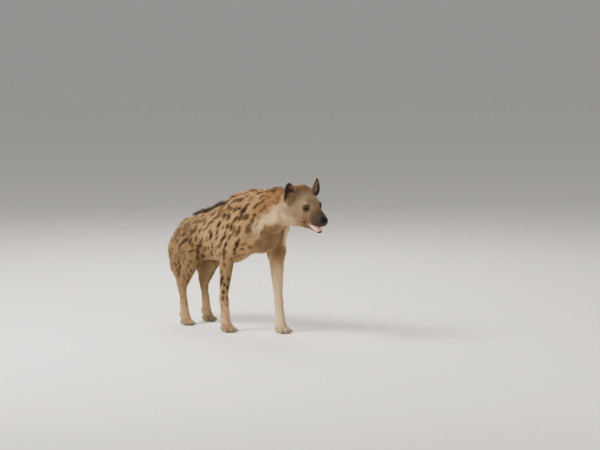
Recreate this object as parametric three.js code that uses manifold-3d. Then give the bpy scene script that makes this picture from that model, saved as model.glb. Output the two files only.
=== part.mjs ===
// An adult spotted hyena at life size, still, in a slow walking stance with its mouth open.
// Millimetres. +X is the way the animal faces, +Y its left side and +Z up, with the soles on z = 0.
// The body is one smooth field, blended from tapered muscles along a skeleton. It is meshed,
// thinned to few triangles, and parted into the head, neck, torso, legs and feet by thin cuts.
// The surface is the outside of the coat.

import * as THREE from "three";
import { mergeVertices } from "three/addons/utils/BufferGeometryUtils.js";
import Module from "manifold-3d";

const wasm = await Module();
wasm.setup();

// Driving sizes of the animal
const WITHERS = 800;
const HIP = 540;
const SHOULDER_JOINT = 588;
const ELBOW = 448;
const WRIST = 188;
const KNEE = 382;
const HOCK = 207;
const HEAD_LENGTH = 280;
const FORE_TRACK = 98;
const HIND_TRACK = 95;
const TAIL_LENGTH = 330;

// Joint gap kept between neighbouring pieces, and how far a root is sunk in what it grows from
const GAP = 0.3;
const ROOT = 9;

// Where each leg stands along the body, from the walking stance
const stance = {
  foreLeft: { side: 1, shoulder: 347, elbow: 318, wrist: 344, foot: 366 },
  foreRight: { side: -1, shoulder: 300, elbow: 154, wrist: 112, foot: 134 },
  hindLeft: { side: 1, hip: -290, knee: -212, hock: -288, foot: -262 },
  hindRight: { side: -1, hip: -282, knee: -158, hock: -252, foot: -224 },
};

// The head's own frame: x forward along the skull, y left and z up, from the middle of the braincase
const HEAD_CENTRE = new THREE.Vector3(659, 0, 741);
const HEAD_PITCH = THREE.MathUtils.degToRad(17.5);
const HEAD_YAW = THREE.MathUtils.degToRad(-6);
const HEAD_ROLL = THREE.MathUtils.degToRad(6);
const headToBody = new THREE.Matrix4()
  .makeRotationZ(HEAD_YAW)
  .multiply(new THREE.Matrix4().makeRotationY(HEAD_PITCH))
  .multiply(new THREE.Matrix4().makeRotationX(HEAD_ROLL))
  .setPosition(HEAD_CENTRE);
const bodyToHead = headToBody.clone().invert();

// Fixed-seed random numbers, so that every build is the same
function randomFrom(seed) {
  let state = seed >>> 0;
  return (low, high) => {
    state = (state + 0x6d2b79f5) >>> 0;
    let t = Math.imul(state ^ (state >>> 15), 1 | state);
    t = (t + Math.imul(t ^ (t >>> 7), 61 | t)) ^ t;
    return low + (high - low) * (((t ^ (t >>> 14)) >>> 0) / 4294967296);
  };
}

// One muscle: a tapered capsule from a to b. Its upright radius goes from r0 to r1 and its sideways
// radius is that times w0 to w1. blend is how widely it melts into the muscles before it.
function muscle(a, b, r0, r1, w0 = 1, w1 = w0, blend = 30) {
  const d = [b[0] - a[0], b[1] - a[1], b[2] - a[2]];
  const length2 = d[0] * d[0] + d[1] * d[1] + d[2] * d[2] || 1e-9;
  return { a, d, length2, r0, dr: r1 - r0, w0, dw: w1 - w0, blend };
}

function muscleDistance(m, x, y, z) {
  const px = x - m.a[0];
  const py = y - m.a[1];
  const pz = z - m.a[2];
  let t = (px * m.d[0] + py * m.d[1] + pz * m.d[2]) / m.length2;
  t = t < 0 ? 0 : t > 1 ? 1 : t;
  const width = m.w0 + m.dw * t;
  const qx = px - t * m.d[0];
  const qy = (py - t * m.d[1]) / width;
  const qz = pz - t * m.d[2];
  const away = Math.sqrt(qx * qx + qy * qy + qz * qz) - (m.r0 + m.dr * t);
  return away * Math.min(1, width);
}

function melt(p, q, blend) {
  const h = Math.max(blend - Math.abs(p - q), 0) / blend;
  return Math.min(p, q) - h * h * blend * 0.25;
}

function carve(p, hollow, blend) {
  return -melt(-p, hollow, blend);
}

// The same muscle on both sides of the body
function pair(a, b, ...sizes) {
  const other = ([x, y, z]) => [x, -y, z];
  return [muscle(a, b, ...sizes), muscle(other(a), other(b), ...sizes)];
}

// Trunk and neck. The back slopes down from the withers to the rump, and so does the belly line.
const trunk = [
  muscle([290, 0, WITHERS - 182], [60, 0, 531], 155, 161, 0.8, 0.84),
  muscle([60, 0, 531], [-150, 0, 500], 161, 130, 0.84, 0.84, 20),
  muscle([-150, 0, 500], [-272, 0, 500], 130, 104, 0.84, 0.82, 20),
  muscle([172, 0, 650], [330, 0, 668], 108, 112, 0.75, 0.75, 30),
  muscle([306, 0, 575], [306, 0, 545], 104, 100, 0.86, 0.86, 40),
  muscle([280, 0, 645], [430, 0, 690], 130, 114, 0.8, 0.8, 30),
  muscle([430, 0, 690], [592, 0, 722], 114, 98, 0.8, 0.86, 20),
];

// Shoulder, upper arm and forearm down to the wrist
function foreleg({ side, shoulder, elbow, wrist, foot }) {
  const y = side;
  const blade = [shoulder - 96, 76 * y, WITHERS - 122];
  const joint = [shoulder, 96 * y, SHOULDER_JOINT];
  const point = [elbow, 106 * y, ELBOW];
  const below = [wrist, FORE_TRACK * y, WRIST];
  const knuckle = [foot - 6, FORE_TRACK * y, 62];
  const pad = [wrist - 22, FORE_TRACK * y, WRIST - 12];
  return [
    muscle(blade, joint, 58, 60, 0.62, 0.7, 40),
    muscle(joint, point, 60, 54, 0.75, 0.86, 34),
    muscle([shoulder - 110, 92 * y, 610], [elbow - 8, 106 * y, ELBOW + 28], 56, 40, 0.66, 0.8, 34),
    muscle(point, below, 54, 25, 0.8, 0.92, 26),
    muscle([elbow - 24, 108 * y, ELBOW + 8], [elbow - 6, 106 * y, ELBOW - 40], 24, 22, 0.8, 0.9, 16),
    muscle(below, [wrist + 5, FORE_TRACK * y, WRIST - 22], 27, 26, 1, 1, 10),
    muscle(pad, [wrist - 20, FORE_TRACK * y, WRIST - 18], 10, 9, 1, 1, 12),
    muscle([wrist + 5, FORE_TRACK * y, WRIST - 22], knuckle, 25, 27, 1.02, 1.12, 10),
  ];
}

// Thigh, shank and hock down to the knuckles of the hind foot
function hindleg({ side, hip, knee, hock, foot }) {
  const y = side;
  const stifle = [knee, 106 * y, KNEE];
  const heel = [hock, HIND_TRACK * y, HOCK];
  const knuckle = [foot - 4, HIND_TRACK * y, 58];
  const tendon = [hock - 30, HIND_TRACK * y, HOCK + 30];
  return [
    muscle([hip + 16, 70 * y, HIP - 90], stifle, 92, 60, 0.64, 0.66, 40),
    muscle([hip - 47, 62 * y, HIP - 132], [hip - 26, 90 * y, KNEE - 54], 66, 42, 0.72, 0.8, 50),
    muscle(stifle, [hock + 6, HIND_TRACK * y, HOCK + 10], 62, 28, 0.7, 0.84, 28),
    muscle([hip - 24, 92 * y, KNEE - 60], [hock - 30, HIND_TRACK * y, HOCK + 34], 32, 14, 0.85, 0.9, 24),
    muscle(tendon, [hock - 20, HIND_TRACK * y, HOCK - 6], 14, 14, 0.95, 1, 14),
    muscle(heel, [hock + 4, HIND_TRACK * y, HOCK - 20], 26, 24, 0.92, 0.92, 12),
    muscle([hock + 4, HIND_TRACK * y, HOCK - 20], knuckle, 23, 25, 0.95, 1.1, 10),
  ];
}

// A paw: a pad at the middle and four toes that spread forward from it
const TOES = [
  { across: -27, forward: 33 },
  { across: -10, forward: 48 },
  { across: 10, forward: 48 },
  { across: 27, forward: 32 },
];
const TOE_RADIUS = 14.5;

function toeTip(foot, y, toe, size) {
  return [foot + toe.forward * size, y + toe.across * size, 13 * size];
}

function paw(foot, y, size) {
  const heel = [foot - 12 * size, y, 19 * size];
  const pad = muscle(heel, [foot + 8, y, 21 * size], 22 * size, 25 * size, 1.25, 1.4, 8);
  const wrist = muscle([foot - 14, y, 58], [foot + 6, y, 38], 24, 22, 1.2, 1.4, 12);
  const toes = TOES.map((toe) => {
    const root = [foot + 4, y + toe.across * 0.66 * size, 29 * size];
    return muscle(root, toeTip(foot, y, toe, size), 15 * size, TOE_RADIUS * size, 0.82, 0.82, 4);
  });
  return [pad, wrist, ...toes];
}

const FORE_PAW = 1.08;
const HIND_PAW = 0.98;
const feet = {
  fore: (leg) => paw(leg.foot, FORE_TRACK * leg.side, FORE_PAW),
  hind: (leg) => paw(leg.foot, HIND_TRACK * leg.side, HIND_PAW),
};

const bodyMuscles = [
  ...trunk,
  ...foreleg(stance.foreLeft),
  ...foreleg(stance.foreRight),
  ...hindleg(stance.hindLeft),
  ...hindleg(stance.hindRight),
];

// Eyes, in the head's frame, for the left one
const EYE = { x: 83, y: 41, z: 15 };
const EYE_RADIUS = 14;

// The head, in its own frame: braincase, brows, muzzle, lips, cheeks, throat and lower jaw
const MUZZLE_END = HEAD_LENGTH - 108;
const headMuscles = [
  muscle([-40, 0, 12], [40, 0, 2], 70, 58, 1.06, 1),
  muscle([66, 0, -6], [MUZZLE_END - 2, 0, -31], 48, 29, 0.9, 1.34, 22),
  ...pair([150, 14, -37], [173, 12, -40], 27, 21.5, 1, 1, 14),
  ...pair([58, 30, 28], [76, 37, 24], 24, 16, 1, 1, 16),
  ...pair([100, 28, -38], [160, 21, -38], 22, 18, 1, 1, 14),
  ...pair([28, 54, -26], [62, 50, -26], 46, 28, 0.72, 0.72, 26),
  ...pair([-18, 52, -52], [36, 48, -62], 52, 36, 0.72, 0.72, 28),
  muscle([-12, 0, -76], [64, 0, -78], 60, 34, 1, 1.3, 26),
  muscle([62, 0, -84], [166, 0, -91], 27, 13, 1.5, 1.55, 18),
  ...pair([-50, 34, 44], [-38, 58, 42], 34, 22, 1, 1, 26),
];
const LID = EYE_RADIUS + 2.6;
const lidMounds = pair([EYE.x, EYE.y, EYE.z], [EYE.x - 4, EYE.y - 3, EYE.z], LID, LID, 1, 1, 8);

// The open mouth: a wedge right across the head in front of the corner, and the hollow of the mouth
const MOUTH_CORNER = 78;
const mouthWedge = { from: [MOUTH_CORNER, -65], to: [198, -72], thin: 2.5, thick: 12.5 };
const mouthHollow = muscle([96, 0, -66], [158, 0, -69], 13, 13, 1.5, 1.3);

// The hollows that the eyes sit in, under the brows
const orbits = pair([101, 57, 16], [115, 46, 12], 13, 8);

function mouthDistance(x, y, z) {
  const [ax, az] = mouthWedge.from;
  const dx = mouthWedge.to[0] - ax;
  const dz = mouthWedge.to[1] - az;
  const t = Math.min(1, Math.max(0, ((x - ax) * dx + (z - az) * dz) / (dx * dx + dz * dz)));
  const half = mouthWedge.thin + (mouthWedge.thick - mouthWedge.thin) * t;
  const wedge = Math.hypot(x - ax - t * dx, z - az - t * dz) - half;
  return Math.min(wedge, muscleDistance(mouthHollow, x, y, z));
}

function fieldOf(muscles, x, y, z) {
  let d = 1e9;
  for (const m of muscles) d = melt(d, muscleDistance(m, x, y, z), m.blend);
  return d;
}

const scratch = new THREE.Vector3();

// The whole coat surface of the animal, without the feet: negative inside
function bodyField(x, y, z) {
  const trunkDistance = fieldOf(bodyMuscles, x, y, z);
  scratch.set(x, y, z).applyMatrix4(bodyToHead);
  if (scratch.x < -190) return trunkDistance;
  const headDistance = fieldOf(headMuscles, scratch.x, scratch.y, scratch.z);
  const whole = melt(trunkDistance, headDistance, 34);
  const orbit = Math.min(...orbits.map((m) => muscleDistance(m, scratch.x, scratch.y, scratch.z)));
  const lid = Math.min(...lidMounds.map((m) => muscleDistance(m, scratch.x, scratch.y, scratch.z)));
  return carve(melt(carve(whole, orbit, 14), lid, 7), mouthDistance(scratch.x, scratch.y, scratch.z), 6);
}

// Meshing: the zero surface of a field inside a box, by splitting each grid cell into six tetrahedra
const TETRAHEDRA = [
  [0, 1, 3, 7],
  [0, 3, 2, 7],
  [0, 2, 6, 7],
  [0, 6, 4, 7],
  [0, 4, 5, 7],
  [0, 5, 1, 7],
];

function meshField(field, low, high, cell) {
  const n = low.map((v, i) => Math.ceil((high[i] - v) / cell) + 1);
  const at = (i, j, k) => i + n[0] * (j + n[1] * k);
  const value = new Float64Array(n[0] * n[1] * n[2]);
  for (let k = 0; k < n[2]; k++)
    for (let j = 0; j < n[1]; j++)
      for (let i = 0; i < n[0]; i++) {
        const edge = i === 0 || j === 0 || k === 0 || i === n[0] - 1 || j === n[1] - 1 || k === n[2] - 1;
        const d = field(low[0] + i * cell, low[1] + j * cell, low[2] + k * cell);
        value[at(i, j, k)] = edge ? Math.max(d, 0.5 * cell) : d || 1e-9;
      }
  const offset = (bits) => at(bits & 1, (bits >> 1) & 1, (bits >> 2) & 1);
  const place = [];
  const triangles = [];
  const known = new Map();
  const cross = (base, i, j, k, p, q) => {
    const lowBits = Math.min(p, q);
    const highBits = Math.max(p, q);
    const key = (base + offset(lowBits)) * 8 + (highBits - lowBits);
    const found = known.get(key);
    if (found !== undefined) return found;
    const va = value[base + offset(lowBits)];
    const vb = value[base + offset(highBits)];
    const t = Math.min(0.98, Math.max(0.02, va / (va - vb)));
    const axis = (start, shift) => {
      const a = (lowBits >> shift) & 1;
      const b = (highBits >> shift) & 1;
      return low[shift] + (start + a + (b - a) * t) * cell;
    };
    place.push(axis(i, 0), axis(j, 1), axis(k, 2));
    known.set(key, place.length / 3 - 1);
    return place.length / 3 - 1;
  };
  for (let k = 0; k < n[2] - 1; k++)
    for (let j = 0; j < n[1] - 1; j++)
      for (let i = 0; i < n[0] - 1; i++) {
        const base = at(i, j, k);
        let inside = 0;
        for (let c = 0; c < 8; c++) inside += value[base + offset(c)] < 0 ? 1 : 0;
        if (inside === 0 || inside === 8) continue;
        for (const tetra of TETRAHEDRA) {
          const ins = tetra.filter((c) => value[base + offset(c)] < 0);
          const outs = tetra.filter((c) => value[base + offset(c)] >= 0);
          if (!ins.length || !outs.length) continue;
          const join = (p, q) => cross(base, i, j, k, p, q);
          const loop = [join(ins[0], outs[0])];
          if (outs.length > 1) loop.push(join(ins[0], outs[1]));
          if (outs.length > 2) loop.push(join(ins[0], outs[2]));
          if (ins.length > 1) loop.push(join(ins[1], outs[outs.length - 1]));
          if (ins.length > 1 && outs.length > 1) loop.push(join(ins[1], outs[0]));
          if (ins.length > 2) loop.push(join(ins[2], outs[0]));
          pushFacing(place, triangles, loop, ins, outs);
        }
      }
  return settle({ place: Float64Array.from(place), triangles: Int32Array.from(triangles) }, field);
}

// Adds a loop of three or four corners as triangles that face from the inside corners to the outside ones
function pushFacing(place, triangles, loop, ins, outs) {
  const mean = (corners, shift) => corners.reduce((s, c) => s + ((c >> shift) & 1), 0) / corners.length;
  const p = (v, axis) => place[3 * loop[v] + axis];
  const e = [0, 1, 2].map((axis) => p(1, axis) - p(0, axis));
  const f = [0, 1, 2].map((axis) => p(2, axis) - p(0, axis));
  const normal = [e[1] * f[2] - e[2] * f[1], e[2] * f[0] - e[0] * f[2], e[0] * f[1] - e[1] * f[0]];
  const facing = normal.reduce((s, v, axis) => s + v * (mean(outs, axis) - mean(ins, axis)), 0);
  const order = facing >= 0 ? loop : [...loop].reverse();
  for (let v = 1; v + 1 < order.length; v++) triangles.push(order[0], order[v], order[v + 1]);
}

// Slides every vertex onto the field's zero surface
function settle(mesh, field) {
  const { place } = mesh;
  const h = 0.4;
  for (let v = 0; v < place.length; v += 3)
    for (let round = 0; round < 2; round++) {
      const [x, y, z] = [place[v], place[v + 1], place[v + 2]];
      const d = field(x, y, z);
      if (Math.abs(d) > 3) break;
      const gx = (field(x + h, y, z) - field(x - h, y, z)) / (2 * h);
      const gy = (field(x, y + h, z) - field(x, y - h, z)) / (2 * h);
      const gz = (field(x, y, z + h) - field(x, y, z - h)) / (2 * h);
      const g2 = Math.max(0.2, gx * gx + gy * gy + gz * gz);
      place[v] -= (d * gx) / g2;
      place[v + 1] -= (d * gy) / g2;
      place[v + 2] -= (d * gz) / g2;
    }
  return mesh;
}

// A heap of edges, the cheapest collapse first
class EdgeHeap {
  items = [];
  push(item) {
    const { items } = this;
    let i = items.push(item) - 1;
    while (i > 0) {
      const up = (i - 1) >> 1;
      if (items[up].cost <= items[i].cost) break;
      [items[up], items[i]] = [items[i], items[up]];
      i = up;
    }
  }
  pop() {
    const { items } = this;
    const top = items[0];
    const last = items.pop();
    if (items.length) {
      items[0] = last;
      for (let i = 0; ; ) {
        let least = i;
        for (const child of [2 * i + 1, 2 * i + 2])
          if (child < items.length && items[child].cost < items[least].cost) least = child;
        if (least === i) break;
        [items[least], items[i]] = [items[i], items[least]];
        i = least;
      }
    }
    return top;
  }
}

function determinant([a, b, c]) {
  return (
    a[0] * (b[1] * c[2] - b[2] * c[1]) -
    a[1] * (b[0] * c[2] - b[2] * c[0]) +
    a[2] * (b[0] * c[1] - b[1] * c[0])
  );
}

// Thins a closed mesh to a number of triangles by collapsing the edges that change its shape least
function thin({ place, triangles }, wanted) {
  const p = Float64Array.from(place);
  const t = Int32Array.from(triangles);
  const count = p.length / 3;
  const quadric = new Float64Array(10 * count);
  const facesAt = Array.from({ length: count }, () => []);
  const stamp = new Int32Array(count);
  const dead = new Uint8Array(t.length / 3);
  const normalOf = (a, b, c) => {
    const ux = p[3 * b] - p[3 * a];
    const uy = p[3 * b + 1] - p[3 * a + 1];
    const uz = p[3 * b + 2] - p[3 * a + 2];
    const vx = p[3 * c] - p[3 * a];
    const vy = p[3 * c + 1] - p[3 * a + 1];
    const vz = p[3 * c + 2] - p[3 * a + 2];
    return [uy * vz - uz * vy, uz * vx - ux * vz, ux * vy - uy * vx];
  };
  for (let f = 0; f < dead.length; f++) {
    const corners = [t[3 * f], t[3 * f + 1], t[3 * f + 2]];
    const m = normalOf(...corners);
    const size = Math.hypot(...m) || 1e-12;
    const [a, b, c] = m.map((v) => v / size);
    const o = 3 * corners[0];
    const d = -(a * p[o] + b * p[o + 1] + c * p[o + 2]);
    const terms = [a * a, a * b, a * c, a * d, b * b, b * c, b * d, c * c, c * d, d * d];
    for (const v of corners) {
      facesAt[v].push(f);
      for (let q = 0; q < 10; q++) quadric[10 * v + q] += terms[q] * size;
    }
  }
  const neighbours = (v) => {
    const found = new Set();
    for (const f of facesAt[v]) for (let c = 0; c < 3; c++) found.add(t[3 * f + c]);
    found.delete(v);
    return found;
  };
  const plan = (a, b) => {
    const q = new Array(10);
    for (let i = 0; i < 10; i++) q[i] = quadric[10 * a + i] + quadric[10 * b + i];
    const errorAt = (x, y, z) =>
      q[0] * x * x + 2 * q[1] * x * y + 2 * q[2] * x * z + 2 * q[3] * x + q[4] * y * y +
      2 * q[5] * y * z + 2 * q[6] * y + q[7] * z * z + 2 * q[8] * z + q[9];
    const mid = [0, 1, 2].map((i) => (p[3 * a + i] + p[3 * b + i]) / 2);
    const length = Math.hypot(...[0, 1, 2].map((i) => p[3 * a + i] - p[3 * b + i]));
    let best = mid;
    const rows = [
      [q[0], q[1], q[2]],
      [q[1], q[4], q[5]],
      [q[2], q[5], q[7]],
    ];
    const against = [-q[3], -q[6], -q[8]];
    const whole = determinant(rows);
    if (Math.abs(whole) > 1e-4 * (q[0] + q[4] + q[7]) ** 3) {
      const solved = [0, 1, 2].map(
        (i) => determinant(rows.map((row, r) => row.map((v, c) => (c === i ? against[r] : v)))) / whole,
      );
      if (Math.hypot(...solved.map((v, i) => v - mid[i])) < length) best = solved;
    }
    const cost = Math.max(0, errorAt(...best)) + 2e-4 * length ** 3 + 1e-6 * length;
    return { cost, a, b, best, sa: stamp[a], sb: stamp[b] };
  };
  const heap = new EdgeHeap();
  const fill = () => {
    for (let v = 0; v < count; v++)
      if (facesAt[v].length) for (const w of neighbours(v)) if (v < w) heap.push(plan(v, w));
  };
  const shapeOf = (normal, c) => {
    let around = 0;
    for (let e = 0; e < 3; e++)
      for (let i = 0; i < 3; i++) around += (p[3 * c[e] + i] - p[3 * c[(e + 1) % 3] + i]) ** 2;
    return Math.hypot(...normal) / around;
  };
  const turns = (v, other, best) => {
    for (const f of facesAt[v]) {
      const c = [t[3 * f], t[3 * f + 1], t[3 * f + 2]];
      if (c.includes(other)) continue;
      const before = normalOf(...c);
      const shapeBefore = shapeOf(before, c);
      const kept = [p[3 * v], p[3 * v + 1], p[3 * v + 2]];
      [p[3 * v], p[3 * v + 1], p[3 * v + 2]] = best;
      const after = normalOf(...c);
      const shapeAfter = shapeOf(after, c);
      [p[3 * v], p[3 * v + 1], p[3 * v + 2]] = kept;
      const sizes = Math.hypot(...before) * Math.hypot(...after);
      const facing = before[0] * after[0] + before[1] * after[1] + before[2] * after[2];
      if (shapeBefore > 0.02 && facing < 0.2 * sizes) return true;
      if (shapeAfter < 0.05 && shapeAfter < 0.6 * shapeBefore) return true;
    }
    return false;
  };
  let left = dead.length;
  let before = Infinity;
  while (left > wanted) {
    if (!heap.items.length) {
      if (left > 0.98 * before) break;
      before = left;
      fill();
    }
    const { a, b, best, sa, sb } = heap.pop();
    if (stamp[a] !== sa || stamp[b] !== sb || !facesAt[a].length || !facesAt[b].length) continue;
    const around = neighbours(a);
    let shared = 0;
    for (const v of neighbours(b)) shared += around.has(v) ? 1 : 0;
    if (shared !== 2 || turns(a, b, best) || turns(b, a, best)) continue;
    [p[3 * a], p[3 * a + 1], p[3 * a + 2]] = best;
    for (let i = 0; i < 10; i++) quadric[10 * a + i] += quadric[10 * b + i];
    for (const f of facesAt[b]) {
      const c = [t[3 * f], t[3 * f + 1], t[3 * f + 2]];
      if (c.includes(a)) {
        dead[f] = 1;
        left--;
        for (const v of c) if (v !== b) facesAt[v] = facesAt[v].filter((g) => g !== f);
      } else {
        t[3 * f + c.indexOf(b)] = a;
        facesAt[a].push(f);
      }
    }
    facesAt[b] = [];
    stamp[a]++;
    stamp[b]++;
    for (const v of neighbours(a)) heap.push(plan(a, v));
  }
  const alive = [];
  for (let f = 0; f < dead.length; f++) if (!dead[f]) alive.push(t[3 * f], t[3 * f + 1], t[3 * f + 2]);
  return compact(p, alive);
}

function compact(p, corners) {
  const renamed = new Map();
  const place = [];
  const triangles = corners.map((v) => {
    if (!renamed.has(v)) {
      renamed.set(v, place.length / 3);
      place.push(p[3 * v], p[3 * v + 1], p[3 * v + 2]);
    }
    return renamed.get(v);
  });
  return { place: Float64Array.from(place), triangles: Int32Array.from(triangles) };
}

// Solids: conversion between meshes and manifold-3d, and the cuts and joins used below
function solidOf({ place, triangles }) {
  const vertProperties = Float32Array.from(place);
  const triVerts = Uint32Array.from(triangles);
  const made = new wasm.Manifold(new wasm.Mesh({ numProp: 3, vertProperties, triVerts }));
  if (made.volume() > 0) return made;
  const turned = Array.from(triangles);
  for (let i = 0; i < turned.length; i += 3) [turned[i + 1], turned[i + 2]] = [turned[i + 2], turned[i + 1]];
  return solidOf({ place, triangles: turned });
}

function geometrySolid(geometry, matrix) {
  const bare = geometry.clone();
  bare.deleteAttribute("normal");
  bare.deleteAttribute("uv");
  if (matrix) bare.applyMatrix4(matrix);
  const merged = mergeVertices(bare, 1e-4);
  return solidOf({ place: merged.attributes.position.array, triangles: merged.index.array });
}

function largest(solid) {
  const bodies = solid.decompose();
  return bodies.reduce((best, body) => (body.volume() > best.volume() ? body : best));
}

// The same mesh moved out along its normals, to cut a neighbour with a gap
function grown({ place, triangles }, by) {
  const normals = new Float64Array(place.length);
  for (let f = 0; f < triangles.length; f += 3) {
    const [a, b, c] = [triangles[f], triangles[f + 1], triangles[f + 2]].map((v) =>
      new THREE.Vector3(place[3 * v], place[3 * v + 1], place[3 * v + 2]),
    );
    const normal = b.clone().sub(a).cross(c.clone().sub(a));
    for (let e = 0; e < 3; e++) {
      const v = triangles[f + e];
      normals[3 * v] += normal.x;
      normals[3 * v + 1] += normal.y;
      normals[3 * v + 2] += normal.z;
    }
  }
  const moved = Float64Array.from(place);
  for (let v = 0; v < place.length; v += 3) {
    const size = Math.hypot(normals[v], normals[v + 1], normals[v + 2]) || 1;
    for (let i = 0; i < 3; i++) moved[v + i] += (by * normals[v + i]) / size;
  }
  return { place: moved, triangles };
}

// A half space as a big block whose face passes through a point, with the block on the side of the normal
function beyond(point, normal, size = 1600) {
  const toward = new THREE.Vector3(...normal).normalize();
  const turn = new THREE.Quaternion().setFromUnitVectors(new THREE.Vector3(0, 0, 1), toward);
  const middle = new THREE.Vector3(...point).addScaledVector(toward, size / 2);
  const matrix = new THREE.Matrix4().compose(middle, turn, new THREE.Vector3(1, 1, 1));
  return geometrySolid(new THREE.BoxGeometry(size, size, size), matrix);
}

// A prism along an axis: an outline in the other two axes, between two places
function prismAlongX(outline, from, to) {
  const shape = new THREE.Shape(outline.map(([y, z]) => new THREE.Vector2(y, z)));
  const geometry = new THREE.ExtrudeGeometry(shape, { depth: to - from, bevelEnabled: false });
  const axes = new THREE.Matrix4().makeBasis(
    new THREE.Vector3(0, 1, 0),
    new THREE.Vector3(0, 0, 1),
    new THREE.Vector3(1, 0, 0),
  );
  return geometrySolid(geometry, axes.setPosition(from, 0, 0));
}

function prismAcrossHead(outline, half) {
  const shape = new THREE.Shape(outline.map(([x, z]) => new THREE.Vector2(x, z)));
  const geometry = new THREE.ExtrudeGeometry(shape, { depth: 2 * half, bevelEnabled: false });
  const axes = new THREE.Matrix4().makeBasis(
    new THREE.Vector3(1, 0, 0),
    new THREE.Vector3(0, 0, 1),
    new THREE.Vector3(0, -1, 0),
  );
  return geometrySolid(geometry, headToBody.clone().multiply(axes.setPosition(0, half, 0)));
}

// The last point inside the body on the way out from a start, which is inside
function surfaceFrom(start, direction, field = bodyField) {
  const way = direction.clone().normalize();
  let low = 0;
  let high = 10;
  while (field(...start.clone().addScaledVector(way, high)) < 0 && high < 500) high += 10;
  for (let i = 0; i < 24; i++) {
    const mid = (low + high) / 2;
    if (field(...start.clone().addScaledVector(way, mid)) < 0) low = mid;
    else high = mid;
  }
  return start.clone().addScaledVector(way, low);
}

// A lock of hair or a claw: a flat, tapered, bent strip of four-sided rings that ends in a point.
// out is the way it stands off the surface, lie the way it runs. It starts below the surface.
function lock({ root, out, lie, length, width, thick, rise, droop, rings = 3, taper = 0.75, sunk = ROOT }) {
  const up = out.clone().normalize();
  const along = lie.clone().addScaledVector(up, -lie.dot(up)).normalize();
  const across = new THREE.Vector3().crossVectors(up, along);
  const place = [];
  const angleAt = (s) => rise + (droop - rise) * s;
  const point = root.clone().addScaledVector(up, -sunk);
  for (let r = 0; r < rings; r++) {
    const s = r / rings;
    const angle = angleAt(s);
    const way = along.clone().multiplyScalar(Math.cos(angle)).addScaledVector(up, Math.sin(angle));
    if (r === 1) point.copy(root).addScaledVector(way, (length * s) / 2);
    if (r > 1) point.addScaledVector(way, length / rings);
    const wide = width * 0.5 * (1 - taper * s ** 1.6);
    const deep = thick * 0.5 * (1 - taper * s);
    const flat = new THREE.Vector3().crossVectors(way, across).normalize();
    for (const [u, v] of [[1, 0], [0, 1], [-1, 0], [0, -1]]) {
      const corner = point.clone().addScaledVector(across, u * wide).addScaledVector(flat, v * deep);
      place.push(corner.x, corner.y, corner.z);
    }
  }
  const angle = angleAt(1);
  const way = along.clone().multiplyScalar(Math.cos(angle)).addScaledVector(up, Math.sin(angle));
  point.addScaledVector(way, length / rings);
  place.push(point.x, point.y, point.z);
  const triangles = [0, 1, 2, 0, 2, 3];
  for (let r = 0; r + 1 < rings; r++)
    for (let c = 0; c < 4; c++) {
      const a = 4 * r + c;
      const b = 4 * r + ((c + 1) % 4);
      triangles.push(a, a + 4, b, b, a + 4, b + 4);
    }
  const last = 4 * (rings - 1);
  for (let c = 0; c < 4; c++) triangles.push(last + c, 4 * rings, last + ((c + 1) % 4));
  return solidOf({ place, triangles });
}

// The body mesh and the head mesh, thinned
const BODY_CELL = 10;
const HEAD_CELL = 4;
const FOOT_CELL = 4.5;
const BODY_TRIANGLES = 3500;
const HEAD_TRIANGLES = 2200;
const FOOT_TRIANGLES = 300;

const bodyMesh = thin(meshField(bodyField, [-460, -190, 130], [760, 190, 900], BODY_CELL), BODY_TRIANGLES);
const bodySolid = solidOf(bodyMesh);

function headFieldLocal(x, y, z) {
  const p = new THREE.Vector3(x, y, z).applyMatrix4(headToBody);
  return bodyField(p.x, p.y, p.z);
}

function intoBody({ place, triangles }) {
  const moved = Float64Array.from(place);
  for (let v = 0; v < moved.length; v += 3) {
    const q = new THREE.Vector3(moved[v], moved[v + 1], moved[v + 2]).applyMatrix4(headToBody);
    [moved[v], moved[v + 1], moved[v + 2]] = [q.x, q.y, q.z];
  }
  return { place: moved, triangles };
}

const headMesh = intoBody(
  thin(meshField(headFieldLocal, [-82, -112, -156], [218, 112, 124], HEAD_CELL), HEAD_TRIANGLES),
);
const headSolid = solidOf(headMesh);

// Places and ways given in the head's frame, as places and ways in the body's frame
function headPoint(x, y, z) {
  return new THREE.Vector3(x, y, z).applyMatrix4(headToBody);
}

function headWay(x, y, z) {
  return new THREE.Vector3(x, y, z).transformDirection(headToBody);
}

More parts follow.
